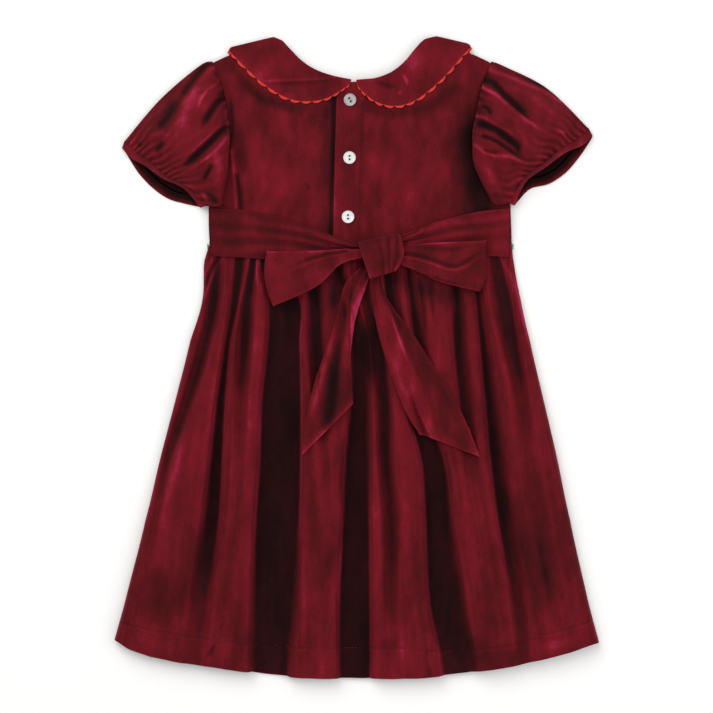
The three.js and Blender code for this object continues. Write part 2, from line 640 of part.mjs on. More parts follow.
// The braid is made from the collar's edge, moved under the leaf, with a scalloped outer side
function braid(stations, side) {
  const steps = SCALLOPS * SCALLOP_PROUD.length;
  const spans = stations.length - 1;
  const face = grid(steps, 1, (across, down, i, j) => {
    const along = down * spans;
    const neck = collarPlace(stations, along, 0);
    const edge = collarPlace(stations, along, 1);
    const width = Math.hypot(neck.x - edge.x, neck.y - edge.y);
    const scallop = SCALLOP_PROUD[j % SCALLOP_PROUD.length];
    return collarPlace(stations, along, 1 + mix(-BRAID_INSIDE, scallop, across) / width);
  });
  return closedBody(shifted(face, side * (CLOTH + GAP)), shifted(face, side * (CLOTH + GAP + BRAID)));
}

// The sleeves

function sleeveColumn(rows, column, round) {
  const index = round * (rows.length - 1);
  return [0, 1, 2].map((axis) => through(rows.map((row) => row[column][axis] ?? 0), index));
}

// Upper half: a curve over the puff through the named columns
function puffPoint(rows, round, out) {
  const columns = ['seam', 'swell', 'crown', 'gather'].map((name) => sleeveColumn(rows, name, round));
  const [x, y, z] = [0, 1, 2].map((axis) => through(columns.map((c) => c[axis]), out * 3));
  const pleat = through(PLEAT_RISE, out * 3) * Math.sin(2 * Math.PI * SLEEVE_PLEATS * round);
  return new THREE.Vector3(x, y, z + pleat * Math.sin(Math.PI * round));
}

// Lower half, flat on the floor, which follows the puff's outer outline at the shoulder side
function solePoint(rows, round, out) {
  const seam = sleeveColumn(rows, 'seam', round);
  const sole = sleeveColumn(rows, 'sole', round);
  const rim = puffPoint(rows, 0, out);
  const chord = [0, 1].map((axis) => mix(rows[0].seam[axis], rows[0].sole[axis], out));
  const follow = (1 - round) ** 3;
  const x = mix(seam[0], sole[0], out) + follow * (rim.x - chord[0]);
  const y = mix(seam[1], sole[1], out) + follow * (rim.y - chord[1]);
  return new THREE.Vector3(x, y, 0);
}

// A point of the wall between the puff's lower end and its foot
function heelPoint(tip, foot, { z, lean, most }) {
  const height = Math.min(z, tip.z * most);
  return new THREE.Vector3(mix(foot.x, tip.x, lean), mix(foot.y, tip.y, lean), height);
}

function sleeveRing(rows, out) {
  const over = Array.from({ length: SLEEVE_TOP + 1 }, (_, k) => puffPoint(rows, k / SLEEVE_TOP, out));
  const foot = solePoint(rows, 1, out);
  const heel = HEEL.map((h) => heelPoint(over[SLEEVE_TOP], foot, h));
  const under = Array.from({ length: SLEEVE_SOLE + 1 }, (_, k) =>
    solePoint(rows, mix(1 - SOLE_MARGIN, SOLE_MARGIN, k / SLEEVE_SOLE), out));
  return [...over, ...heel, ...under];
}

function sleeve(rows, side) {
  const face = Array.from({ length: SLEEVE_ROWS + 1 }, (_, j) => sleeveRing(rows, j / SLEEVE_ROWS));
  return closedBody(face, shifted(face, side * SLEEVE_CLOTH, true), true);
}

// The open edge of the cuff, a ring with as many points as the sleeve's
function cuffRing(rows) {
  const over = Array.from({ length: SLEEVE_TOP + 1 }, (_, k) =>
    new THREE.Vector3(...sleeveColumn(rows, 'cuff', k / SLEEVE_TOP)));
  const foot = new THREE.Vector3(...sleeveColumn(rows, 'hem', 1));
  const heel = HEEL.map((h) => heelPoint(over[SLEEVE_TOP], foot, h));
  const under = Array.from({ length: SLEEVE_SOLE + 1 }, (_, k) =>
    new THREE.Vector3(...sleeveColumn(rows, 'hem', mix(1 - SOLE_MARGIN, SOLE_MARGIN, k / SLEEVE_SOLE))));
  return [...over, ...heel, ...under];
}

function cuff(rows, side) {
  const edge = cuffRing(rows);
  const start = sleeveRing(rows, 1).map((p, i) => {
    const way = edge[i].clone().sub(p).normalize();
    return p.clone().addScaledVector(way, CUFF_GAP);
  });
  const middle = start.map((p, i) => p.clone().lerp(edge[i], 0.5));
  const face = [start, middle, edge];
  return closedBody(face, shifted(face, side * CUFF_CLOTH, true), true);
}

// The sash and its bow

// Highest point of the back near a place, bodice or skirt
function ground(x, y, reach) {
  let highest = 0;
  for (const dx of [-reach, -reach / 2, 0, reach / 2, reach]) {
    for (const dy of [-reach / 2, 0, reach / 2]) {
      const height = y + dy > WAIST_Y ? backHeight(x + dx, y + dy) : skirtHeight(x + dx, y + dy);
      highest = Math.max(highest, height);
    }
  }
  return highest;
}

function sashHeight(table, x, y) {
  const top = straight(table.x, table.top, x);
  const bottom = straight(table.x, table.bottom, x);
  const knotward = indexOf(table.x, x) / (table.x.length - 1);
  const ripple = Math.sin(Math.PI * SASH_FOLDS * (y - bottom) / (top - bottom)) ** 2;
  return ground(x, y, SASH_REACH) + SASH_CLEAR + CLOTH + mix(...SASH_FOLD_RISE, knotward) * ripple;
}

function sash(table) {
  const top = grid(SASH_ROWS, SASH_COLUMNS, (along, across) => {
    const x = through(table.x, along * (table.x.length - 1));
    const y = mix(straight(table.x, table.bottom, x), straight(table.x, table.top, x), across);
    return new THREE.Vector3(x, y, sashHeight(table, x, y));
  });
  return lyingWall(top, () => 0, CLOTH, () => 0);
}

// A band through stations with two edges each
function bandSurface(stations, steps, columns, one, other, heightAt) {
  const spans = stations.length - 1;
  return grid(spans * steps, columns, (across, _, i, j) => {
    const along = j / steps;
    const read = (name, axis) => through(stations.map((s) => s[name][axis]), along);
    const x = mix(read(one, 0), read(other, 0), across);
    const y = mix(read(one, 1), read(other, 1), across);
    return new THREE.Vector3(x, y, heightAt(x, y, across, along));
  });
}

function bowLoop(stations, side) {
  const heights = stations.map((s) => s.z);
  const face = bandSurface(stations, LOOP_STEPS, LOOP_ACROSS, 'upper', 'lower', (x, y, across, along) =>
    through(heights, along));
  return closedBody(face, shifted(face, side * BAND));
}

function bowKnot() {
  const heights = KNOT.map((s) => s.z);
  const face = bandSurface(KNOT, KNOT_STEPS, KNOT_ACROSS, 'left', 'right', (x, y, across, along) => {
    const swell = KNOT_PLEAT_RISE * ease((across - KNOT_PLEATS_FROM) / KNOT_PLEATS_LEAD);
    return through(heights, along) + swell * Math.sin(2 * Math.PI * KNOT_PLEATS * across);
  });
  return closedBody(face, shifted(face, -BAND));
}

// A tail lies over the folds, and over the sash's lower edge near the knot
function bowTail(stations) {
  const heightAt = (x, y, across) => {
    const fold = TAIL_FOLD_RISE * Math.cos(2 * Math.PI * TAIL_FOLDS * across);
    return ground(x, y, TAIL_REACH) + TAIL_CLEAR + BAND + TAIL_FOLD_RISE + fold;
  };
  const top = bandSurface(stations, TAIL_STEPS, TAIL_ACROSS, 'left', 'right', heightAt);
  return lyingWall(top, () => 0, BAND, () => 0);
}

// A two-hole button lying on the placket
function button({ x, y, turn }) {
  const outline = new THREE.Shape().absarc(0, 0, BUTTON_RADIUS - BUTTON_EDGE, 0, 2 * Math.PI, false);
  for (const side of [-1, 1]) {
    const hole = new THREE.Path();
    hole.absarc(0, side * HOLE_SPREAD, HOLE_RADIUS + BUTTON_EDGE / 2, 0, 2 * Math.PI, true);
    outline.holes.push(hole);
  }
  const geometry = new THREE.ExtrudeGeometry(outline, {
    depth: BUTTON_HEIGHT, curveSegments: BUTTON_SIDES / 2, bevelEnabled: true,
    bevelSize: BUTTON_EDGE / 2, bevelThickness: BUTTON_EDGE, bevelSegments: 1,
  });
  const seat = Math.max(...[-1, 0, 1].flatMap((i) => [-1, 0, 1].map((j) =>
    backHeight(x + i * BUTTON_RADIUS, y + j * BUTTON_RADIUS))));
  geometry.rotateZ(turn);
  geometry.translate(x, y, seat + GAP + BUTTON_EDGE);
  return geometry;
}

const dress = new THREE.Group();
dress.add(piece('skirt_front', skirtFront(), VELVET));
dress.add(piece('skirt_back', skirtBack(), VELVET));
dress.add(piece('bodice_front', bodiceFront(), VELVET));
dress.add(piece('bodice_back_left', bodiceBackLeft(), VELVET));
dress.add(piece('bodice_back_right', bodiceBackRight(), VELVET));
dress.add(piece('front_waist_trim', frontWaistTrim(), TRIM_WHITE));
dress.add(piece('collar_left', collar(COLLAR_LEFT, 1), VELVET));
dress.add(piece('collar_right', collar(COLLAR_RIGHT, -1), VELVET));
dress.add(piece('collar_trim_left', braid(COLLAR_LEFT, 1), BRAID_RED));
dress.add(piece('collar_trim_right', braid(COLLAR_RIGHT, -1), BRAID_RED));
dress.add(piece('sleeve_left', sleeve(SLEEVE_LEFT, 1), VELVET));
dress.add(piece('sleeve_right', sleeve(SLEEVE_RIGHT, -1), VELVET));
dress.add(piece('cuff_left', cuff(SLEEVE_LEFT, 1), VELVET));
dress.add(piece('cuff_right', cuff(SLEEVE_RIGHT, -1), VELVET));
dress.add(piece('sash_left', sash(SASH_LEFT), VELVET));
dress.add(piece('sash_right', sash(SASH_RIGHT), VELVET));
dress.add(piece('bow_knot', bowKnot(), VELVET));
dress.add(piece('bow_loop_left', bowLoop(LOOP_LEFT, -1), VELVET));
dress.add(piece('bow_loop_right', bowLoop(LOOP_RIGHT, 1), VELVET));
dress.add(piece('bow_tail_left', bowTail(TAIL_LEFT), VELVET));
dress.add(piece('bow_tail_right', bowTail(TAIL_RIGHT), VELVET));
BUTTONS.forEach((place, i) => dress.add(piece(`button_${i + 1}`, button(place), BUTTON_WHITE)));

export default dress;
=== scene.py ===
# A toddler's party dress in crimson velvet, laid flat on its front with the back up.
# Blender works in metres. The tables are in millimetres: +X right, +Y to the neck, +Z up.
import math

import bmesh
import bpy
from mathutils import Matrix, Vector, noise


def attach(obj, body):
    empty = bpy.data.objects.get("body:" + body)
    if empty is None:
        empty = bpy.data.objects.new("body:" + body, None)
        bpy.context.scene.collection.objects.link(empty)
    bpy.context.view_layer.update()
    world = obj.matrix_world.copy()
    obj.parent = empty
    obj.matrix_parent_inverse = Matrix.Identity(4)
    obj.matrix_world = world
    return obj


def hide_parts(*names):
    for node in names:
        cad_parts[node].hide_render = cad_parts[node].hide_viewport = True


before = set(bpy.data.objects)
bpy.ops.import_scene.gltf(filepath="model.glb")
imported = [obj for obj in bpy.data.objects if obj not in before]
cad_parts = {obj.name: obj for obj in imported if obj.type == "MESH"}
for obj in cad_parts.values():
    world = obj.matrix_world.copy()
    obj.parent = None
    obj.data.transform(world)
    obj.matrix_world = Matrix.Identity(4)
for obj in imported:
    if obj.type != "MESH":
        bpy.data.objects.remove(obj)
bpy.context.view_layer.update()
mm = 0.001

# How the photograph was taken: straight from above, one pixel is 0.87 mm on the dress
photoFrame = {"pixels": 713, "mmPerPixel": 0.87, "columnAtZero": 355.5, "rowAtZero": 356.5,
              "distance": 2600, "height": 8, "sensor": 36}


def onDress(column, row):
    scale = photoFrame["mmPerPixel"]
    return (column - photoFrame["columnAtZero"]) * scale, (photoFrame["rowAtZero"] - row) * scale


def addCamera():
    data = bpy.data.cameras.new("above")
    data.sensor_width = photoFrame["sensor"]
    width = photoFrame["pixels"] * photoFrame["mmPerPixel"]
    data.lens = photoFrame["sensor"] * photoFrame["distance"] / width
    data.clip_end = 30
    camera = bpy.data.objects.new("above", data)
    middle = photoFrame["pixels"] / 2
    x, y = onDress(middle, middle)
    camera.location = Vector((x, y, photoFrame["distance"] + photoFrame["height"])) * mm
    bpy.context.collection.objects.link(camera)
    bpy.context.scene.camera = camera


softboxes = {
    "keyBox": {"at": (-0.75, 0.95, 1.5), "size": 1.5, "power": 19},
    "fillBox": {"at": (1.1, -0.3, 1.4), "size": 1.4, "power": 8},
    "headBox": {"at": (0.1, 0.1, 2.1), "size": 1.2, "power": 8},
}
room = {"colour": "#ffffff", "strength": 0.55}
floorLook = {"size": 8, "drop": 0.4, "colour": "#f4f3f1", "roughness": 0.75, "specular": 0.2,
             "grainMm": 6, "bumpMm": 0.2, "bumpStrength": 0.05}


def colour(hexText):
    parts = [int(hexText[i:i + 2], 16) / 255 for i in (1, 3, 5)]
    return (*[c / 12.92 if c <= 0.04045 else ((c + 0.055) / 1.055) ** 2.4 for c in parts], 1)


def addNode(tree, kind, settings=None, links=None):
    node = tree.nodes.new("ShaderNode" + kind)
    for name, value in (settings or {}).items():
        if isinstance(name, int) or name in node.inputs:
            node.inputs[name].default_value = value
        else:
            setattr(node, name, value)
    for name, source in (links or {}).items():
        tree.links.new(source, node.inputs[name])
    return node


def emptyMaterial(name):
    material = bpy.data.materials.new(name)
    material.use_nodes = True
    material.node_tree.nodes.clear()
    return material, material.node_tree


def addBump(tree, strength, distance, height):
    bump = addNode(tree, "Bump", {"Strength": strength, "Distance": distance}, {"Height": height})
    return bump.outputs["Normal"]


def addTints(tree, first, second, share):
    tint = addNode(tree, "Mix", {"data_type": "RGBA", 6: first, 7: second}, {0: share})
    return tint.outputs[2]


def addShader(tree, settings, links):
    shader = addNode(tree, "BsdfPrincipled", settings, links)
    addNode(tree, "OutputMaterial", links={"Surface": shader.outputs["BSDF"]})


def addLights():
    for name, box in softboxes.items():
        data = bpy.data.lights.new(name, "AREA")
        data.shape = "SQUARE"
        data.size = box["size"]
        data.energy = box["power"]
        lamp = bpy.data.objects.new(name, data)
        lamp.location = box["at"]
        lamp.rotation_euler = (-Vector(box["at"])).to_track_quat("-Z", "Y").to_euler()
        bpy.context.collection.objects.link(lamp)
    world = bpy.data.worlds.new("whiteRoom")
    world.use_nodes = True
    sky = world.node_tree.nodes["Background"]
    sky.inputs["Color"].default_value = colour(room["colour"])
    sky.inputs["Strength"].default_value = room["strength"]
    bpy.context.scene.world = world
    bpy.context.scene.view_settings.view_transform = "Standard"


def addFloor():
    look = floorLook
    material, tree = emptyMaterial("mattWhitePaint")  # rolled wall paint: plain, with a faint grain
    place = addNode(tree, "TexCoord")
    grain = addNode(tree, "TexNoise", {"Scale": 1000 / look["grainMm"]},
                    {"Vector": place.outputs["Object"]})
    normal = addBump(tree, look["bumpStrength"], look["bumpMm"] * mm, grain.outputs["Fac"])
    addShader(tree, {"Base Color": colour(look["colour"]), "Roughness": look["roughness"],
                     "Specular IOR Level": look["specular"]}, {"Normal": normal})
    bm = bmesh.new()
    bmesh.ops.create_grid(bm, x_segments=1, y_segments=1, size=look["size"] / 2)
    mesh = bpy.data.meshes.new("floor")
    bm.to_mesh(mesh)
    bm.free()
    floor = bpy.data.objects.new("floor", mesh)
    floor.location.z = -look["drop"] * mm
    mesh.materials.append(material)
    bpy.context.collection.objects.link(floor)


addCamera()
addLights()
addFloor()
print("camera, lights and floor are in place")

# Small tools for the tables


def clamp(value, low=0.0, high=1.0):
    return min(high, max(low, value))


def ease(value):
    value = clamp(value)
    return value * value * (3 - 2 * value)


def mix(a, b, share):
    return a + (b - a) * share


def bell(away, wide):
    return math.exp(-(away / wide) ** 2)


def fall(away, run):
    return math.exp(-away / run)


def roundEdge(inset):
    # height of a round edge, from 0 at the edge itself to 1
    return math.sqrt(1 - (1 - inset) ** 2)


def rims(share, width, near, far):
    # nearness to both edges of a strip: for painted highlights on turned edges, and painted shade along a sleeve's
    # stitching
    return fall(share * width, near) + fall((1 - share) * width, far)


def through(values, index):
    # a smooth curve through a list of numbers, read at a fractional index
    last = len(values) - 1
    at = min(max(int(math.floor(index)), 0), last - 1)
    share = clamp(index - at)
    before, start, end, after = (values[max(at - 1, 0)], values[at], values[at + 1],
                                 values[min(at + 2, last)])
    bend = 2 * before - 5 * start + 4 * end - after
    twist = 3 * start - before - 3 * end + after
    return 0.5 * (2 * start + (end - before) * share + bend * share ** 2 + twist * share ** 3)


def indexOf(values, value):
    # the fractional index at which a list that rises or falls all the way reaches a value
    sign = 1 if values[-1] > values[0] else -1
    at = 0
    while at < len(values) - 2 and (value - values[at + 1]) * sign > 0:
        at += 1
    return at + clamp((value - values[at]) / (values[at + 1] - values[at]))


def straight(keys, values, key):
    index = indexOf(keys, key)
    at = min(int(index), len(values) - 2)
    return mix(values[at], values[at + 1], index - at)


def ripple(x, y, wide, long, layer):
    # gentle unevenness, from -1 to 1, with the real size of its patches
    return noise.noise(Vector((x / wide, y / long, layer * 7.31)))


def path(text):
    # points read off the photograph as "column,row column,row", turned to millimetres
    return [onDress(*map(float, point.split(","))) for point in text.split()]


def handCrease(line, wide, shade, rise=0, fade="both"):
    # its path, its width in mm, what it adds to the painted light and shade (below 0 painted shade, above 0 a painted
    # highlight) and to the height, and which ends fade
    return {"line": path(line), "wide": wide, "shade": shade, "rise": rise, "fade": fade}


def measured(*rows):
    return [handCrease(*row) for row in rows]


def nearLine(line, x, y):
    # distance to a line of points, and how far along it the nearest place is
    best, along = 1e9, 0
    for number, ((ax, ay), (bx, by)) in enumerate(zip(line, line[1:])):
        dx, dy = bx - ax, by - ay
        share = clamp(((x - ax) * dx + (y - ay) * dy) / (dx * dx + dy * dy))
        away = math.hypot(x - ax - dx * share, y - ay - dy * share)
        if away < best:
            best, along = away, (number + share) / (len(line) - 1)
    return best, along


creaseEnd = {"least": 0.12, "run": 0.35, "narrow": 0.5, "reach": 3}


def creases(marks, x, y):
    # what the creases add to the height and to the painted light and shade (a negative shade is painted shade, a
    # positive one a painted highlight); each fades and narrows at its ends ("both"), only at its last point where it
    # starts in a seam ("end"), or nowhere ("none")
    rise = shade = 0
    for mark in marks:
        away, along = nearLine(mark["line"], x, y)
        if away > creaseEnd["reach"] * mark["wide"]:
            continue
        ends = 1
        if mark["fade"] != "none":
            ends *= ease(creaseEnd["least"] + (1 - along) / creaseEnd["run"])
        if mark["fade"] == "both":
            ends *= ease(creaseEnd["least"] + along / creaseEnd["run"])
        near = ends * bell(away, mark["wide"] * mix(creaseEnd["narrow"], 1, ends))
        rise += mark["rise"] * near
        shade += mark["shade"] * near
    return rise, shade


# Velvet: cotton back with a cut pile. The pile's darkness where one looks down into it and its shine at turned edges
# are painted into the colour here: each place has a value, dark at 0 and bright at 1, which holds painted shade in
# valleys, creases and under other parts, painted highlights on turned edges, and the nap's own uneven patches.
velvetLook = {
    "stops": [(0.0, "#1a0708"), (0.22, "#2b0b0e"), (0.5, "#500f15"), (0.72, "#6e141f"), (1.0, "#a4284a")],
    "drawn": 0.45, "patchMm": 22, "patchShare": 0.44, "crushMm": 6, "crushShare": 0.20,
    "pileMm": 1.0, "pileShare": 0.18, "roughness": 0.95, "specular": 0.08, "sheen": 0.15,
    "sheenRoughness": 0.35, "sheenTint": "#d86a80", "bumpMm": 0.16, "bumpStrength": 0.35,
}


def makeVelvet(name, look):
    material, tree = emptyMaterial(name)
    place = addNode(tree, "TexCoord")
    # the per-vertex painted light and shade, with the nap's patches, sets the colour through the ramp
    napAndPaintedLight = addNode(tree, "Attribute", {"attribute_name": "napAndPaintedLight"})
    total = napAndPaintedLight.outputs["Fac"]
    # the crushed places are longer down the cloth than across it
    drawn = addNode(tree, "Mapping", {"Scale": (1, look["drawn"], 1)},
                    {"Vector": place.outputs["Object"]})
    for size, detail in (("patch", 3), ("crush", 2), ("pile", 1)):
        share = look[size + "Share"]
        spots = addNode(tree, "TexNoise", {"Scale": 1000 / look[size + "Mm"], "Detail": detail},
                        {"Vector": drawn.outputs["Vector"]})
        lean = addNode(tree, "Math", {"operation": "MULTIPLY_ADD", 1: share, 2: -share / 2},
                       {0: spots.outputs["Fac"]})
        total = addNode(tree, "Math", {"operation": "ADD"}, {0: total, 1: lean.outputs[0]}).outputs[0]
    ramp = addNode(tree, "ValToRGB", links={"Fac": total})
    stops = ramp.color_ramp.elements
    stops[0].position, stops[0].color = look["stops"][0][0], colour(look["stops"][0][1])
    stops[1].position, stops[1].color = look["stops"][-1][0], colour(look["stops"][-1][1])
    for position, tint in look["stops"][1:-1]:
        stops.new(position).color = colour(tint)
    normal = addBump(tree, look["bumpStrength"], look["bumpMm"] * mm, spots.outputs["Fac"])
    addShader(tree, {"Roughness": look["roughness"], "Specular IOR Level": look["specular"],
                     "Sheen Weight": look["sheen"], "Sheen Roughness": look["sheenRoughness"],
                     "Sheen Tint": colour(look["sheenTint"])},
              {"Base Color": ramp.outputs["Color"], "Normal": normal})
    return material


velvet = makeVelvet("cutPileVelvet", velvetLook)


def makeCloth(name, columns, rows, placeAt, wall, ring=False, lookingUp=(0, 1, 0, 1)):
    # a grid moved onto the cloth's place, then given its wall on the side away from the pile
    bm = bmesh.new()
    bmesh.ops.create_grid(bm, x_segments=columns, y_segments=rows, size=0.5)
    uvs = bm.loops.layers.uv.new("cloth")
    napAndPaintedLight = bm.verts.layers.float.new("napAndPaintedLight")
    left, right, low, high = lookingUp
    upper = []
    for face in bm.faces:
        middle = face.calc_center_median()
        if left < middle.x + 0.5 < right and low < middle.y + 0.5 < high:
            upper.append(face)
        for loop in face.loops:
            loop[uvs].uv = (loop.vert.co.x + 0.5, loop.vert.co.y + 0.5)
    # each vertex keeps its value of painted light and shade
    for vert in bm.verts:
        x, y, z, bright = placeAt(vert.co.x + 0.5, vert.co.y + 0.5)
        vert.co = Vector((x, y, z)) * mm
        vert[napAndPaintedLight] = clamp(bright)
    if ring:
        bmesh.ops.remove_doubles(bm, verts=bm.verts, dist=0.01 * mm)
    bm.normal_update()
    if sum(face.normal.z * face.calc_area() for face in upper if face.is_valid) < 0:
        bmesh.ops.reverse_faces(bm, faces=bm.faces)
    piece = finishMesh(name, bm)
    shell = piece.modifiers.new("wall", "SOLIDIFY")
    shell.thickness = wall * mm
    shell.offset = -1
    return piece


def finishMesh(name, bm):
    mesh = bpy.data.meshes.new(name)
    bm.to_mesh(mesh)
    bm.free()
    mesh.shade_smooth()
    piece = bpy.data.objects.new(name, mesh)
    bpy.context.collection.objects.link(piece)
    return piece


def settle(piece, material, node=None):
    piece.data.materials.append(material)
    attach(piece, "root")
    if node:
        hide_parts(node)
    return piece


def layVelvet(name, node, columns, rows, placeAt, wall, **turn):
    return settle(makeCloth(name, columns, rows, placeAt, wall, **turn), velvet, node)


# Heights of the lying layers
layers = {"cloth": 1.4, "frontTop": 1.5, "gap": 0.3, "seam": 0.15, "backBase": 3.2, "collarStack": 3.0,
          "lap": 2.1, "waistY": 97, "liftFrom": 138, "liftTo": 166, "liftLead": 14}


def frontLift(y):
    return layers["collarStack"] * ease((y - layers["liftFrom"]) / (layers["liftTo"] - layers["liftFrom"]))


def backLift(y):
    return frontLift(y + layers["liftLead"])


# The skirt: side edges and ridge height at each station down, and the hem's curve
skirt = {
    "y": [97, 82, 49, 14, -38, -90, -142, -212, -280],
    "left": [-128, -132, -133.5, -144, -157, -170.5, -183, -200.5, -217],
    "right": [136.5, 138, 144, 152, 164, 176, 187, 202.5, 218.5],
    "crest": [2.4, 4, 8, 11, 13.5, 14.5, 14.5, 13, 10.5],
}
hem = {
    "x": [-209, -196, -179, -153, -118, -83, -48, -13, 21, 56, 91, 126, 160, 187, 211],
    "y": [-247, -254.5, -260.5, -266, -271, -276, -279.5, -280, -280, -279.5, -275.5, -271, -264, -257, -249.5],
}
# The valleys of its folds, left to right: middle, floor's width, depth and how soft the left and
# the right side is (small for a crisp turned edge) at each station
troughs = [
    {"x": [-117, -120, -124, -131, -146, -164, -173, -187, -198], "width": [2, 4, 6, 5, 5, 4, 4, 4, 4],
     "depth": [0.5, 0.7, 0.9, 0.8, 0.7, 0.5, 0.15, 0, 0], "left": [4, 4, 5, 6, 7, 7, 7, 7, 7],
     "right": [3, 3, 5, 5, 5, 6, 6, 6, 6]},
    {"x": [-100, -101.5, -105, -111, -117, -121, -125, -133, -140], "width": [5, 7, 5, 2.4, 4.6, 7.5, 9.5, 8, 5],
     "depth": [0.8, 0.95, 0.95, 0.9, 0.95, 1, 1, 0.5, 0.12], "left": [3, 3, 3, 2, 2, 2.4, 5, 12, 14],
     "right": [4, 4, 2.4, 2, 2, 2, 2.4, 6, 9]},
    {"x": [-89, -89.5, -94.5, -96.6, -100, -102, -105, -113, -120], "width": [3, 4.5, 6, 6, 4, 3, 3, 3, 3],
     "depth": [0.8, 0.9, 0.9, 0.9, 0.45, 0.15, 0, 0, 0], "left": [2, 2, 4, 4, 5, 5, 5, 5, 5],
     "right": [2, 2, 4, 4, 5, 5, 5, 5, 5]},
    {"x": [-78, -78, -62.5, -62.4, -64.5, -65.5, -68, -71, -74],
     "width": [2, 8, 25.5, 25.7, 32, 33.5, 35.5, 33, 27], "depth": [0.7, 0.9, 1, 1, 1, 1, 1, 0.95, 0.85],
     "left": [2, 2, 2, 1.8, 1.8, 1.8, 1.8, 5, 7], "right": [2, 2, 1.8, 1.8, 1.8, 1.8, 3, 8, 3]},
    {"x": [-45, -42, -36, -33.8, -30, -26, -22, -19, -17], "width": [5, 7, 7.5, 9, 6, 5, 5, 5, 5],
     "depth": [0.9, 0.95, 0.95, 0.9, 0.5, 0.15, 0.05, 0, 0], "left": [3, 3, 4, 6, 7, 6, 6, 6, 6],
     "right": [2, 2, 3, 4, 4, 5, 5, 5, 5]},
    {"x": [-18, -16, -5, 3, 3, 1.1, 0.5, -0.6, -0.5], "width": [2, 3, 7, 12, 12, 17.8, 20.3, 24.5, 24.3],
     "depth": [0.7, 0.8, 0.85, 0.95, 0.95, 1, 1, 1, 0.95], "left": [3, 3, 3, 3, 2, 1.8, 1.8, 2, 3],
     "right": [5, 5, 5, 6, 6, 5, 2.4, 1.8, 1.8]},
    {"x": [6, 6, 10, 19, 25, 26.5, 30.9, 31, 33], "width": [2, 3, 5, 8, 7, 5, 5, 4, 3],
     "depth": [0.6, 0.7, 0.8, 0.9, 0.92, 0.85, 0.7, 0.35, 0], "left": [5, 5, 5, 5, 6, 6, 6, 6, 6],
     "right": [4, 4, 4, 4, 4, 4, 5, 6, 6]},
    {"x": [26, 27, 31, 39, 49, 67, 71.5, 77.5, 89], "width": [4, 5, 6, 6, 9, 17.5, 18.5, 24, 22],
     "depth": [0.8, 0.9, 0.9, 0.8, 0.9, 1, 1, 0.95, 0.75], "left": [2, 2, 2, 2, 2, 1.8, 1.8, 1.8, 4],
     "right": [3, 3, 4, 4, 4, 3, 5, 10, 12]},
    {"x": [46, 46, 50, 55, 65, 80, 89, 100, 107], "width": [2, 3, 3.4, 5, 4, 4, 4, 4, 4],
     "depth": [0.8, 0.9, 0.95, 0.9, 0.4, 0, 0, 0, 0], "left": [2, 2, 2, 2, 4, 4, 4, 4, 4],
     "right": [2, 2, 2.4, 5, 7, 7, 7, 7, 7]},
    {"x": [82, 83, 88, 89.5, 94, 100, 107, 117, 124], "width": [3, 3, 4, 5, 5, 5, 4, 4, 4],
     "depth": [0.7, 0.9, 0.95, 0.95, 0.8, 0.25, 0, 0, 0], "left": [2, 2, 1.8, 1.8, 2.4, 5, 5, 5, 5],
     "right": [2, 3, 4, 6, 8, 8, 8, 8, 8]},
    {"x": [101, 102, 107, 111, 116.5, 122, 129, 139, 145], "width": [2, 2, 2.6, 3.4, 4.5, 6, 7, 4, 3],
     "depth": [0.7, 0.8, 0.9, 0.95, 0.95, 0.95, 0.9, 0.5, 0.12], "left": [2, 2, 1.8, 1.8, 1.8, 1.8, 1.8, 2.4, 5],
     "right": [3, 3, 3, 3, 6, 8, 11, 13, 13]},
    {"x": [120, 123, 129, 136, 145, 149, 157, 169, 178], "width": [3, 8, 12, 9, 4, 4, 4, 4, 4],
     "depth": [0.6, 0.7, 0.72, 0.72, 0.4, 0.15, 0.1, 0, 0], "left": [4, 6, 10, 10, 8, 8, 8, 8, 8],
     "right": [2, 2, 2, 2.2, 4, 6, 6, 6, 6]},
]
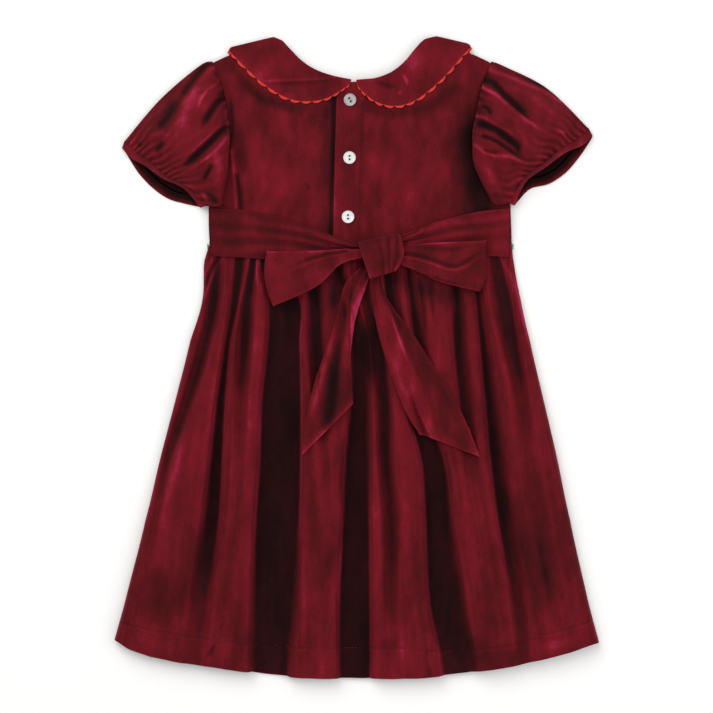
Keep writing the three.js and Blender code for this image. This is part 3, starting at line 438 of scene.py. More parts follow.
# creases on the skirt: a negative shade is painted shade beside folds and under the bow, a positive one a painted
# highlight on ridges and the hem
skirtMarks = measured(
    ("150,560 160,598 188,620", 15, -0.16),
    ("200,520 192,570 178,612", 11, -0.16),
    ("236,560 238,610 236,655", 9, -0.12),
    ("515,460 540,540 558,605", 24, -0.17),
    ("525,520 535,570 540,618", 13, -0.12),
    ("480,560 490,612 497,640", 12, -0.14),
    ("128,634 160,645 205,655", 6, 0.06),
    ("525,650 560,643 588,633", 4.4, 0.1),
    ("186,430 176,470 163,515", 4.2, 0.17, 0.7),
    ("280,290 281,312 283,340", 3.4, 0.34, 1.2, "end"),
    ("222,257 214,271 208.5,286 201,306", 1.7, 0.24, 1.2, "end"),
    ("217,259 209,274 205,290", 1.8, -0.36, -1, "end"),
    ("212,259 206,271 203,283", 1.3, 0.18, 0.6, "end"),
    ("255.5,262 257,280 259.4,297", 1.1, 0.14, 0.7, "end"),
    ("265,264 263.4,282 259.8,297", 1.1, 0.14, 0.7, "end"),
    ("259.6,300 254,350 250,400 247,460 243,520", 3.4, 0.07, 0.6),
    ("498,257 511,275 519,300 526,330 533,365", 2.2, 0.2, 0.8),
    ("439,325 439,345 437,368", 1.6, 0.12, 0.5),
    ("333,500 342,540 330,560 322,590", 6, -0.14),
    ("303,545 304,600 302,655", 2.2, 0.14),
    ("402,465 404,520 408,570", 4.6, 0.13),
    ("388,600 390,625 386,642", 6, 0.1),
    ("428,636 429.5,655 434,676", 1.3, 0.16, 0.8, "none"),
    ("437.5,648 440.5,662 442,676", 1.3, 0.14, 0.7, "none"),
    ("216,642 212,650 206,658", 1.6, -0.24, -0.6),
    ("338,262 336,288 331,316", 5, -0.42, -1, "end"),
    ("315,284 320,300 322,322", 5, -0.26, 0, "end"),
    ("398,280 425,290 452,296", 8, -0.22, 0, "none"),
    ("421,280 422,305 427,338", 1.5, -0.22, -0.7, "end"),
    ("431,282 432,305 437,332", 1.4, -0.2, -0.6, "end"),
    ("455,390 480,430 505,475", 24, -0.12),
    ("365,316 369,350 373,392", 6, -0.34),
    ("462,636 485,656 515,660", 13, -0.18, 0, "none"),
    ("225,668 236,660 246,640", 7, -0.12, 0, "none"),
)
hemStitchLine = path("125,623 147,628 180,634 200,638 220,641.7 247.5,643 290,646 320,649 369,647.5 "
                     "397,647.5 417,649.7 440,651.7 488,648.7 507,645.8 528,640 548,633 565,628 592,620")
hemXs = [x for x, _ in hemStitchLine]
hemYs = [y for _, y in hemStitchLine]
skirtLook = {"columns": 330, "rows": 138, "hemward": 1.3, "wall": 1.2, "run": 6, "edgeRun": 15, "dome": 15,
             "domeLow": 0.82, "foldReach": 45, "gathers": 5.2, "gatherRise": 1.0, "gatherRun": 20,
             "valleyShadeLead": 0.4, "valleyShadeRun": 1.1, "crispBelow": 4, "crispRun": 2.5, "rimAt": 1.9, "rimWide": 1.0,
             "sideRimAt": 1.2, "sideRimWide": 1.1, "track": 9, "streaks": [(1, 2.4, 120, 3), (0.4, 0.9, 80, 9)],
             "streakRise": 0.45, "groove": 0.9, "grooveDepth": 0.35, "hemTurn": 0.25, "swellAt": 1.6,
             "swellWide": 0.8, "peep": 3.5, "peepX": -76, "peepReach": 22, "waver": 0.5, "waverMm": 16}
# painted light on the skirt: the valleys and the hem's stitch groove get painted shade; turned edges, the sides, the
# gathers' crests and the hem's swell get painted highlights
skirtPaintedLight = {"valley": 0.06, "ridge": 0.60, "rim": 0.20, "sideRim": 0.7, "streak": 0.14, "gather": 0.10,
            "groove": 0.10, "hemSwell": 0.07}
trackEnds = [skirt["left"], *[t["x"] for t in troughs], skirt["right"]]
hemTracks = [values[-2] for values in trackEnds]


def skirtFold(x, y):
    # height of the folds, how near the ridge's top the place is, how far it is from the painted shade of a valley,
    # and the painted highlight on a turned edge
    look = skirtLook
    station = indexOf(skirt["y"], y)
    crest = through(skirt["crest"], station)
    share, pile, rim, clear = 1.0, 1.0, 0.0, look["dome"]
    for trough in troughs:
        middle = through(trough["x"], station)
        if abs(x - middle) > look["foldReach"]:
            continue
        depth = clamp(through(trough["depth"], station))
        away = abs(x - middle) - through(trough["width"], station) / 2
        soft = straight(range(len(skirt["y"])), trough["left" if x < middle else "right"], station)
        share *= 1 - depth * (1 - ease(2 * away / (look["run"] + soft)))
        # pile: how far the place is from the painted shade of a valley, softer on a soft side
        pile *= 1 - depth * (1 - ease((away + look["valleyShadeLead"] * soft) / (look["valleyShadeRun"] * soft)))
        clear = min(clear, mix(look["dome"], max(away, 0), depth))
        crisp = clamp((look["crispBelow"] - soft) / look["crispRun"])
        rim = max(rim, crisp * depth * bell(away - look["rimAt"], look["rimWide"]))
    inset = clamp(min(x - through(skirt["left"], station), through(skirt["right"], station) - x)
                  / look["edgeRun"])
    dome = mix(look["domeLow"], 1, ease(clear / look["dome"]))
    rim = max(rim, skirtPaintedLight["sideRim"] * bell(inset * look["edgeRun"] - look["sideRimAt"], look["sideRimWide"]))
    return crest * share * roundEdge(inset) * dome, share, pile, rim


def skirtHeight(x, y):
    return layers["backBase"] + skirtFold(x, y)[0]


def skirtPlace(across, down, top, hemRise):
    y = mix(top, hem["y"][0], down)
    at = min(int(across), len(trackEnds) - 2)
    for _ in range(4):  # a few rounds, until x and y agree
        station = indexOf(skirt["y"], y)
        x = mix(through(trackEnds[at], station), through(trackEnds[at + 1], station), across - at)
        y = mix(top, through(hem["y"], indexOf(hem["x"], x)) + hemRise(x), down)
    return x, y


def acrossAt(u):
    return indexOf(hemTracks, mix(hemTracks[0], hemTracks[-1], u))


def backHemRise(x):
    # the back hem rides up where the front one peeps out, and wavers a little
    look = skirtLook
    peep = look["peep"] * ease(1 - abs(x - look["peepX"]) / look["peepReach"])
    return peep + look["waver"] * ripple(x, 0, look["waverMm"], 1, 1)


def skirtBackAt(u, v):
    look, napAndPaintedLight = skirtLook, skirtPaintedLight
    across = acrossAt(u)
    top = layers["waistY"] - layers["seam"]
    down = 1 - v ** look["hemward"]
    x, y = skirtPlace(across, down, top, backHemRise)
    fold, share, pile, rim = skirtFold(x, y)
    rise, shade = creases(skirtMarks, x, y)
    waistward = fall(top - y, look["gatherRun"])
    gather = math.sin(2 * math.pi * x / look["gathers"] + 3 * ripple(x, y, 30, 60, 2))
    # streaks run down the cloth, so they follow its own tracks and not x
    track = across * look["track"]
    streak = sum(part * ripple(track, y, *patch) for part, *patch in look["streaks"])
    z = layers["backBase"] + fold + rise
    z += (look["streakRise"] * streak + look["gatherRise"] * gather * waistward) * share
    fromStitch = y - straight(hemXs, hemYs, x)
    groove = bell(fromStitch, look["groove"])
    z += -look["grooveDepth"] * groove + (look["hemTurn"] if fromStitch < 0 else 0)
    # painted shade in the valleys, painted highlights on turned edges, then the creases' painted light and shade
    bright = mix(napAndPaintedLight["valley"], napAndPaintedLight["ridge"], pile) + napAndPaintedLight["rim"] * rim
    bright += shade * mix(0.4, 1, pile) + napAndPaintedLight["streak"] * streak * mix(0.3, 1, pile)
    bright += napAndPaintedLight["gather"] * gather * waistward * share - napAndPaintedLight["groove"] * groove
    bright += napAndPaintedLight["hemSwell"] * bell(fromStitch + look["swellAt"], look["swellWide"])
    return x, y, max(z, layers["backBase"] - 0.1), bright


# the front's low value is painted shade, where it peeps out under the back
frontLook = {"top": 93.1, "inset": 1, "napAndPaintedLight": 0.30, "wall": 1.4}


def skirtFrontAt(u, v):
    x, y = skirtPlace(acrossAt(u), 1 - v, frontLook["top"], lambda at: 0.4 * ripple(at, 0, 22, 1, 4))
    inset = -frontLook["inset"] if u > 0.5 else frontLook["inset"]
    return x + inset, y, layers["frontTop"], frontLook["napAndPaintedLight"] + 0.1 * ripple(x, y, 14, 90, 5)


skirtBack = layVelvet("skirtBack", "skirt_back", skirtLook["columns"], skirtLook["rows"], skirtBackAt,
                      skirtLook["wall"])
skirtFront = layVelvet("skirtFront", "skirt_front", 90, 70, skirtFrontAt, frontLook["wall"])
print("the skirt is cut, gathered and laid")

# The bodice
bodiceLeft = {
    "y": [97, 101, 114, 131, 141, 152, 164, 176, 188, 213, 236, 256, 262, 269, 273],
    "x": [-127.5, -127.3, -128, -128, -123, -117, -113, -110, -108.7, -110.5, -115.7, -123.5, -111, -88, -71],
}
bodiceRight = {
    "y": [97, 105, 119, 133, 137, 142, 153, 166, 178, 190, 214, 237, 256, 262, 269, 273],
    "x": [136, 136, 135.5, 135, 128.3, 123.8, 111.5, 105, 101.6, 99.9, 103.9, 109, 117, 105, 84, 70],
}
neckLeft = {"y": [238.5, 243, 249, 256, 264, 273], "x": [-4, -22, -37, -48, -57, -64]}
neckRight = {"y": [237.5, 240.5, 246, 255, 265, 273], "x": [0, 17, 32, 43, 50, 58]}
placket = {"y": [97, 102, 180, 232, 240], "x": [-19.6, -19.6, -17.8, -16.2, -16]}
bodiceLook = {"top": 272.5, "crown": 3.6, "edge": 24, "waistShare": 0.6, "waistRun": 30, "neckShare": 0.2,
              "neckFrom": 200, "neckRun": 60, "underlap": 0.17, "stepEnd": 0.23, "rows": 90, "wall": 1.2,
              "armFrom": 146, "armFromRun": 6, "armTo": 257, "armToRun": 3, "allowance": 3.2,
              "allowanceFall": 0.75, "softRise": 0.30, "napAndPaintedLight": 0.56, "softNap": 0.12, "crushNap": 0.08}
# bodice creases: painted shade beside the sleeves, along the placket's edge and under the collar, and a few painted
# highlights
leftMarks = measured(
    ("231,150 233.3,165 235,188 236.5,209", 1.4, 0.28, 0.9, "none"),
    ("238,120 241,150 243,180", 6, -0.24, -0.5),
    ("237,176 239.5,192 240.5,209", 2, -0.42, -0.5, "none"),
    ("230,92 232,120 232,150", 1.8, -0.36, -0.4),
    ("334,98 333.6,130 332.6,163 331.5,196 330.5,236", 2.2, -0.5, 0, "none"),
    ("328,110 327,163 326,230", 6, -0.14, 0, "none"),
    ("229,62 243,82 262,98 290,108 320,104", 5, -0.28),
    ("222,70 232,82 240,100", 4, 0.06),
    ("262,150 275,175 300,200", 14, 0.08),
    ("305,184 310,190", 1.2, -0.2, -0.3),
)
rightMarks = measured(
    ("336.6,102 335.8,130 334.9,163 334,196 332.6,236", 1.4, 0.08, 0, "none"),
    ("363.3,103 360.8,176.7 359,230", 1.1, -0.14, -0.3, "none"),
    ("472,140 475,165 477,188 482,212", 14, -0.5, 0, "none"),
    ("470,100 471,130 474,150", 6, -0.24),
    ("370,108 395,115 430,106 455,88", 6, -0.2, 0, "none"),
)


def edgeAt(edge, y):
    return straight(edge["y"], edge["x"], y)


def armLeft(y):
    return edgeAt(bodiceLeft, y)


def armRight(y):
    return edgeAt(bodiceRight, y)


def placketEdge(y):
    return edgeAt(placket, y)


def bodiceHeight(x, y):
    look = bodiceLook
    crown = look["crown"] * roundEdge(clamp(min(x - armLeft(y), armRight(y) - x) / look["edge"]))
    waistward = mix(look["waistShare"], 1, ease((y - layers["waistY"]) / look["waistRun"]))
    neckward = mix(1, look["neckShare"], ease((y - look["neckFrom"]) / look["neckRun"]))
    return layers["backBase"] + backLift(y) + crown * waistward * neckward


def rightHeight(x, y):
    share = (x - placketEdge(y)) / (armRight(y) - placketEdge(y))
    step = (share - bodiceLook["underlap"]) / (bodiceLook["stepEnd"] - bodiceLook["underlap"])
    return bodiceHeight(x, y) + layers["lap"] * (1 - ease(step))


def backHeight(x, y):
    return rightHeight(x, y) if x > placketEdge(y) - 0.6 else bodiceHeight(x, y)


def backPanelAt(leftAt, rightAt, heightAt, marks, bend):
    look = bodiceLook

    def at(u, v):
        y = mix(layers["waistY"] + layers["seam"], look["top"], v)
        # the seam allowance goes into the sleeve, so that no gap shows
        inArm = ease((y - look["armFrom"]) / look["armFromRun"]) * ease((look["armTo"] - y) / look["armToRun"])
        left, right = leftAt(y), rightAt(y)
        left -= look["allowance"] * inArm if leftAt is armLeft else 0
        right += look["allowance"] * inArm if rightAt is armRight else 0
        x = mix(left, right, u)
        past = max(armLeft(y) - x, x - armRight(y), 0)
        rise, shade = creases(marks, x, y)
        rise -= look["allowanceFall"] * past
        soft = ripple(x, y, 24, 30, bend)
        z = heightAt(x, y) + rise + look["softRise"] * soft * min(1, 6 * u * (1 - u))
        crush = ripple(x, y, 8, 14, bend + 1)
        return x, y, z, look["napAndPaintedLight"] + shade + look["softNap"] * soft + look["crushNap"] * crush
    return at


def underlapAt(y):
    edge = mix(placketEdge(y), armRight(y), bodiceLook["underlap"]) - 1
    return edge if y < neckLeft["y"][0] else min(edge, edgeAt(neckLeft, y))


def placketAt(y):
    return placketEdge(y) if y < neckRight["y"][0] else max(placketEdge(y), edgeAt(neckRight, y))


bodiceBackLeft = layVelvet("bodiceBackLeft", "bodice_back_left", 90, bodiceLook["rows"],
                           backPanelAt(armLeft, underlapAt, bodiceHeight, leftMarks, 6), bodiceLook["wall"])
bodiceBackRight = layVelvet("bodiceBackRight", "bodice_back_right", 110, bodiceLook["rows"],
                            backPanelAt(placketAt, armRight, rightHeight, rightMarks, 7), bodiceLook["wall"])

frontNeck = {"x": -2.5, "y": 267, "width": 61, "drop": 68, "square": 0.8, "sideInset": 0.996}
frontOutline = [
    [-121, 254], [-115, 236], [-110, 213], [-108, 188], [-112, 163], [-122, 141], [-127, 130],
    [-127, 100.3], [-90, 100.3], [-45, 100.3], [0, 100.3], [45, 100.3],
    [90, 100.3], [135, 100.3], [134, 132], [124.5, 142], [105.5, 166], [100, 190],
    [104, 214], [109, 237], [115, 254],
]


def bodiceFrontAt(u, v):
    index = v * (len(frontOutline) - 1)
    at = min(int(index), len(frontOutline) - 2)
    edgeX, edgeY = (mix(frontOutline[at][axis], frontOutline[at + 1][axis], index - at) for axis in (0, 1))
    neckX = frontNeck["x"] - frontNeck["width"] * math.cos(math.pi * v)
    neckY = frontNeck["y"] - frontNeck["drop"] * max(0, math.sin(math.pi * v)) ** frontNeck["square"]
    x = mix(neckX, edgeX * frontNeck["sideInset"], u)
    y = mix(neckY, edgeY, u)
    return x, y, layers["frontTop"] + frontLift(y), frontLook["napAndPaintedLight"]


bodiceFront = layVelvet("bodiceFront", "bodice_front", 24, 120, bodiceFrontAt, frontLook["wall"])
print("the bodice is sewn")

# The inset tape of the front's waist: white cotton with a row of green leaf stitches
tapeLook = {"x": (-129.3, 137.8), "y": (93.4, 100), "wall": 1.3, "white": "#eef0e6", "green": "#3fae7a",
            "pitchMm": 3.2, "roughness": 0.8, "bumpMm": 0.3, "bumpStrength": 0.4}


def makeTape():
    look = tapeLook
    material, tree = emptyMaterial("embroideredCottonTape")  # woven cotton, satin-stitched leaves
    place = addNode(tree, "TexCoord")
    slant = addNode(tree, "TexWave",
                    {"wave_type": "BANDS", "bands_direction": "DIAGONAL", "Scale": 1000 / look["pitchMm"] / 6.3,
                     "Distortion": 1.2}, {"Vector": place.outputs["Object"]})
    leaf = addNode(tree, "Math", {"operation": "GREATER_THAN", 1: 0.62}, {0: slant.outputs["Fac"]})
    tint = addTints(tree, colour(look["white"]), colour(look["green"]), leaf.outputs[0])
    normal = addBump(tree, look["bumpStrength"], look["bumpMm"] * mm, slant.outputs["Fac"])
    addShader(tree, {"Roughness": look["roughness"]}, {"Base Color": tint, "Normal": normal})
    return material


def tapeAt(u, v):
    return mix(*tapeLook["x"], u), mix(*tapeLook["y"], v), layers["frontTop"] - 0.05 * math.cos(40 * math.pi * u), 0.5


waistTape = settle(makeCloth("waistTape", 160, 6, tapeAt, tapeLook["wall"]), makeTape(),
                   "front_waist_trim")

# The collar halves, from the centre back over the shoulder to the centre front
collarLeft = {
    "neckX": [-4, -10, -21, -31, -40, -48, -55, -61, -65, -66.5, -65.5, -62.5, -59, -52, -38, -20, -5],
    "neckY": [241, 242, 244.5, 248, 252.5, 258.5, 265.5, 272, 277.3, 279.7, 277, 268, 248, 228, 212, 204, 202],
    "edgeX": [-5, -12, -24, -40, -57, -74, -90, -104, -109.5, -111, -110, -106, -98, -84, -60, -30, -8],
    "edgeY": [236.6, 232, 225, 222, 224, 233, 246, 260, 266.5, 269, 266.3, 256, 233, 208, 190, 181, 186],
    "height": [1, 1, 1, 1, 1, 1, 1, 1, 0.93, 0.5, 0.07, 0, 0, 0, 0, 0, 0],
}
collarRight = {
    "neckX": [1, 7, 17, 27, 35, 43, 50, 57, 63, 65.5, 63, 58, 54, 47, 33, 15, 1],
    "neckY": [240.5, 241, 242, 245.5, 250, 257, 265.5, 273.5, 278.5, 280.3, 278, 269, 248, 228, 212, 204, 202],
    "edgeX": [1.5, 8, 20, 36, 52, 68, 82, 94, 99.5, 101, 99.5, 96, 89, 77, 54, 25, 3],
    "edgeY": [236, 228.5, 220.5, 218, 223, 235, 249, 263, 269.5, 272, 269, 258, 234, 208, 190, 181, 186],
    "height": [1, 1, 1, 1, 1, 1, 1, 1, 0.93, 0.5, 0.07, 0, 0, 0, 0, 0, 0],
}
collarLook = {"columns": 26, "rows": 190, "wall": 1.3, "levelY": 267, "neckCorner": 7, "edgeCorner": 4,
              "foldAt": 9, "foldRun": 0.9, "rollDrop": 0.5, "rollPaintedHighlight": 0.10, "softMm": 17, "softRise": 0.2,
              "softNap": 0.14, "napAndPaintedLight": 0.60}
collarTurn = {"lookingUp": (0, 1, 0, 0.4)}  # only the back half of a leaf has its pile up
bridge = {"before": 16, "rise": 13, "from": 16, "fall": 16}
# collar creases: a negative shade is painted shade, a positive one a painted highlight
collarMarks = measured(
    ("262,82 270.8,80.7 290,80.4 309.6,79.9 333.3,77.3 346.8,78.2", 1.3, 0.2, -0.45),
    ("262,84.5 290,82.8 310,82.4 333,80", 2.2, -0.16),
    ("372.2,80.7 387.4,85.8 397.5,87.5", 2, -0.2, -0.5),
    ("402,73 406,80 408,86", 1.5, 0.3, 0.5),
    ("404,70 420,60 444,46", 9, 0.09),
    ("398,91 401,95", 2.2, 0.22, 0.4),
)


def collarBed(x, y):
    rise = ease((x - placketEdge(y) + bridge["before"]) / bridge["rise"])
    return bodiceHeight(x, y) + layers["lap"] * rise * (1 - ease((x - bridge["from"]) / bridge["fall"]))


def leafEnds(leaf, along):
    neck, edge = ([through(leaf[side + axis], along) for axis in "XY"] for side in ("neck", "edge"))
    return neck, edge, math.dist(neck, edge), clamp(through(leaf["height"], along))


def cornerDip(away, corner):
    return corner * (1 - roundEdge(clamp(away / corner)))


def collarPlace(leaf, along, out):
    neck, edge, width, share = leafEnds(leaf, along)
    x, y = (mix(neck[axis], edge[axis], out) for axis in (0, 1))
    # the corners at the shoulder's fold are rounded
    dip = max(cornerDip(out * width, collarLook["neckCorner"]),
              cornerDip((1 - out) * width, collarLook["edgeCorner"]))
    y -= dip * bell(along - collarLook["foldAt"], collarLook["foldRun"])
    back = collarBed(x, min(y, collarLook["levelY"])) + layers["collarStack"]
    return x, y, back * share


def collarAt(leaf):
    look = collarLook

    def at(u, v):
        along = v * (len(leaf["height"]) - 1)
        x, y, z = collarPlace(leaf, along, u)
        width, share = leafEnds(leaf, along)[2:]
        rise, shade = creases(collarMarks, x, y) if share > 0.9 else (0, 0)
        # painted highlight on the rolled edges, which also drop a little
        roll = fall((1 - u) * width, 1.2) + 0.6 * fall(u * width, 1.4)
        soft = ripple(x, y, look["softMm"], look["softMm"], 8)
        z += rise + (look["softRise"] * soft - look["rollDrop"] * roll) * share
        return x, y, max(z, 0), look["napAndPaintedLight"] + shade + look["rollPaintedHighlight"] * roll + look["softNap"] * soft
    return at


collarLeftLeaf = layVelvet("collarLeft", "collar_left", collarLook["columns"], collarLook["rows"],
                           collarAt(collarLeft), collarLook["wall"], **collarTurn)
collarRightLeaf = layVelvet("collarRight", "collar_right", collarLook["columns"], collarLook["rows"],
                            collarAt(collarRight), collarLook["wall"], **collarTurn)

# Ric-rac under the collar's edge, of which the outer waves show
braidLook = {"waves": 28, "base": 0.1, "swing": 2.3, "round": 2.4, "calm": 0.8, "calmAt": 9.1, "calmRun": 1.1,
             "wide": 4.4, "wall": 0.9, "steps": 16, "red": "#ea2a0e", "shade": "#b01806", "roughness": 0.62,
             "sheen": 0.2, "bumpMm": 0.2, "bumpStrength": 0.5}


def makeBraid():
    look = braidLook
    material, tree = emptyMaterial("wovenPolyesterRicRac")  # flat-woven bright thread, ribbed along the band
    place = addNode(tree, "UVMap", {"uv_map": "cloth"})
    rows = addNode(tree, "Mapping", {"Scale": (9, 900, 1)}, {"Vector": place.outputs["UV"]})
    ribs = addNode(tree, "TexWave", {"Scale": 1.0, "Distortion": 0.8}, {"Vector": rows.outputs["Vector"]})
    spots = addNode(tree, "TexNoise", {"Scale": 4.0}, {"Vector": rows.outputs["Vector"]})
    # the ribs' troughs are darker: painted shade in the ribbing, on top of the bump
    shade = addNode(tree, "Math", {"operation": "MULTIPLY", 1: 0.7}, {0: ribs.outputs["Fac"]})
    tint = addTints(tree, colour(look["red"]), colour(look["shade"]), shade.outputs[0])
    height = addNode(tree, "Math", {"operation": "ADD"}, {0: ribs.outputs["Fac"], 1: spots.outputs["Fac"]})
    normal = addBump(tree, look["bumpStrength"], look["bumpMm"] * mm, height.outputs[0])
    addShader(tree, {"Roughness": look["roughness"], "Sheen Weight": look["sheen"]},
              {"Base Color": tint, "Normal": normal})
    return material


def braidAt(leaf):
    look = braidLook
    under = layers["cloth"] + layers["gap"]

    def at(u, v):
        along = v * (len(leaf["height"]) - 1)
        width, share = leafEnds(leaf, along)[2:]
        # round lobes that meet at the collar's edge and calm down at the shoulder's fold
        lobe = 2 * (look["waves"] * v % 1) - 1
        calm = 1 - look["calm"] * bell(along - look["calmAt"], look["calmRun"])
        outer = look["base"] + look["swing"] * (1 - abs(lobe) ** look["round"]) * calm
        x, y, z = collarPlace(leaf, along, 1 + (outer - look["wide"] * (1 - u)) / width)
        return x, y, z + under * (1 - 2 * share) + 0.25 * math.sin(math.pi * u), 0.5
    return at


def layBraid(name, node, leaf):
    rows = braidLook["waves"] * braidLook["steps"]
    return settle(makeCloth(name, 6, rows, braidAt(leaf), braidLook["wall"], **collarTurn), braid, node)


braid = makeBraid()
braidLeft = layBraid("collarTrimLeft", "collar_trim_left", collarLeft)
braidRight = layBraid("collarTrimRight", "collar_trim_right", collarRight)
print("the collar and its ric-rac are on")

# Puff sleeves: each line is read at places round the armhole, from the shoulder to the underarm
sleeveLeft = {
    "seam": [[-124.5, 257, 5], [-116.5, 236, 7], [-111.4, 213, 7], [-109.6, 188, 6.5], [-114, 163, 6],
             [-124.6, 141, 7]],
    "swell": [[-136, 253, 5.4], [-127, 229, 19], [-119, 205, 24], [-112.5, 182, 24], [-111, 160, 19],
              [-117, 134, 14]],
    "crown": [[-170, 224, 5], [-160, 207, 25], [-146, 187, 34], [-132, 170, 34], [-120, 150, 27],
              [-119.5, 130, 14]],
    "gather": [[-201.5, 187, 4.8], [-191, 178, 13], [-178.5, 169, 18], [-166, 157, 18], [-149, 148.5, 14.5],
               [-130.5, 131, 10]],
    "cuff": [[-203.5, 181.5, 4.4], [-195, 172.5, 7.5], [-182, 165, 11], [-167.5, 154.5, 11], [-149.5, 146, 8.5],
             [-135, 129.5, 7]],
    "sole": [[-199, 188], [-191, 177], [-180, 161], [-163, 146.5], [-147, 140.5], [-131.5, 133]],
    "hem": [[-203, 182], [-197, 172], [-186, 156], [-168, 140], [-149.5, 133.5], [-136, 130.5]],
}
sleeveRight = {
    "seam": [[118.5, 257, 5], [110.4, 237, 7], [105.4, 214, 7], [101.6, 190, 6.5], [107, 165, 6], [126.6, 142, 7]],
    "swell": [[130, 252.5, 5.4], [122, 230.5, 19], [114, 208, 24], [105.5, 186, 24], [103, 166, 19],
              [117, 139.5, 14]],
    "crown": [[167.5, 233, 5], [160, 213, 25], [147, 193, 34], [131, 175, 34], [115, 152, 27], [121.5, 132, 14]],
    "gather": [[203.5, 198, 4.8], [194, 189, 13], [179.5, 180.5, 18], [163, 167, 18], [146.5, 154.5, 14.5],
               [133.5, 133, 10]],
    "cuff": [[206.5, 192.5, 4.4], [198, 184, 7.5], [182.5, 177, 11], [165.5, 164.5, 11], [148.5, 152, 8.5],
             [138.5, 131.5, 7]],
    "sole": [[202, 198], [195, 188], [184.5, 173], [169.5, 159.5], [150, 153], [134.5, 135]],
    "hem": [[207, 192], [201.5, 183], [190, 167.5], [173.5, 152.5], [152, 146], [139.5, 132.5]],
}
sleeveLook = {"top": 24, "sole": 6, "margin": 0.06, "columns": 200, "rows": 90, "wall": 1.0,
              "heel": [{"z": 8, "lean": 0.5, "most": 0.55}, {"z": 1.8, "lean": 0, "most": 0.3}],
              "gathers": 15, "wander": 4.5, "gatherRun": 0.13, "uneven": 0.7, "stitchRun": 0.03,
              "creaseRun": 0.08, "seamRise": 1.1, "cuffRise": 0.9, "softRise": 0.5}
# painted light on the sleeves: painted highlights on the pleats' crests, painted shade between them, along the
# stitching and under and inside the sleeve
sleevePaintedLight = {"base": 0.56, "seamPleat": 0.32, "cuffPleat": 0.26, "inside": 0.42, "stitching": 0.12, "soft": 0.10}
cuffLook = {"rows": 16, "gap": -1.2, "roll": 0.5, "tuck": 0.6, "tuckRun": 0.25, "napAndPaintedLight": 0.55, "edgePaintedHighlight": 0.16,
            "seamPaintedShade": 0.2, "seamRun": 0.12, "softNap": 0.12}
# a ring has top + 1 points over the sleeve, two heels and sole + 1 points under it
overShare = sleeveLook["top"] / (sleeveLook["top"] + sleeveLook["sole"] + 4)
# sleeve creases: a negative shade is painted shade in a trough, a positive one a painted highlight on a ridge
leftSleeveMarks = measured(
    ("208,63 198,74 187,90 180,102", 3.6, -0.5, -3, "end"),
    ("182,98 173,111 164,124 158,133", 5.5, -0.38, -2),
    ("211.8,61.9 204.3,74.9 191.3,98.8 183.7,120.4 177,141", 7, 0.22, 1.5, "end"),
    ("219.4,83.6 207.5,91.2 201,102 196.7,119.3", 1.5, 0.22, 1.2, "end"),
    ("224,96 215,108 209,118 202.1,131", 2.8, -0.46, -3.4, "end"),
    ("227,123.7 218.3,130.2 207.5,141.5 192.3,155.6 179.3,167.5", 1.4, 0.26, 1.4, "end"),
    ("225.9,127.5 216,139 206,149.5 193,161 183,169", 2.9, -0.52, -3.6, "end"),
    ("229.2,138 218.3,151.2 207.5,161 194.5,169.6 179,175.5", 1.6, 0.26, 1.3, "end"),
    ("212.5,168 207.5,176.8 203.5,182", 1.8, -0.4, -2, "end"),
    ("141.4,139.5 151.2,136.7 159.8,134.6 170.7,137.2 175,139.9", 1.4, 0.12, 1),
    ("163.5,140 161,148 156,155", 3, -0.34, -1.8),
    ("141,142 138.5,148", 2.2, -0.3, -1.2),
    ("199,191 205,197 209,205", 1.5, 0.24, 0.8),
    ("206,192 213,198 220,205", 2.4, -0.34, -1.6),
    ("217,150 220,172 218,190", 6, 0.16, 0.6),
)
rightSleeveMarks = measured(
    ("483,77 494,84 505,98 518,112 533,125", 3, -0.56, -4, "end"),
    ("500,92 514,104 530,115", 4.4, -0.2, -1),
    ("482,88 498,97.7 511,109 523,120.5 536,130 552,137", 2, 0.3, 1.6, "end"),
    ("490,71 507,76 524,83.6 548,93.4 564,104.2 573,119", 2.4, 0.24, 1, "end"),
    ("505,71 530,80 552,90 570,103 580,118", 1.8, -0.3, -1),
    ("480,105 487,109.5 491,117", 1.8, -0.44, -1.4),
    ("474,116 485,120 496,128 508,134 514,142", 1.6, 0.26, 1.2, "end"),
    ("480,125 495,131 506,140 515.7,148 520,160", 2.9, -0.58, -4.2, "end"),
    ("514,128 522,140 526,156", 2.4, 0.14, 0.8),
    ("482,137.5 490,140.5 498,145 511,154 524,163", 1.6, -0.42, -2.2, "end"),
    ("481,150 488,154 500,154.5", 1.6, -0.3, -1.2),
    ("473,145.4 483,154 494,158 508,158.4 524,165 546,165", 2.2, 0.26, 1.4, "end"),
    ("552,132 562,133 568,133", 2, 0.18, 0.8),
    ("557,150 547,161 531,171", 1.8, -0.2, -1),
    ("480,160 490,180 502,197", 4.4, 0.2, 0.8),
    ("518,88 542,104 560,124", 8, 0.13),
    ("516,184 520,190 513,198", 2.2, -0.24, -1),
)


def linePoint(line, turn):
    index = turn * (len(line) - 1)
    return [through([(*point, 0)[axis] for point in line], index) for axis in range(3)]


def puffPoint(lines, turn, out):
    points = [linePoint(lines[name], turn) for name in ("seam", "swell", "crown", "gather")]
    return [through([point[axis] for point in points], out * 3) for axis in range(3)]


def solePoint(lines, turn, out):
    seam, sole = linePoint(lines["seam"], turn), linePoint(lines["sole"], turn)
    rim, first = puffPoint(lines, 0, out), (lines["seam"][0], lines["sole"][0])
    follow = (1 - turn) ** 3
    return [mix(seam[axis], sole[axis], out) + follow * (rim[axis] - mix(first[0][axis], first[1][axis], out))
            for axis in (0, 1)] + [0]


def soleTurns():
    count = sleeveLook["sole"]
    return [mix(1 - sleeveLook["margin"], sleeveLook["margin"], k / count) for k in range(count + 1)]


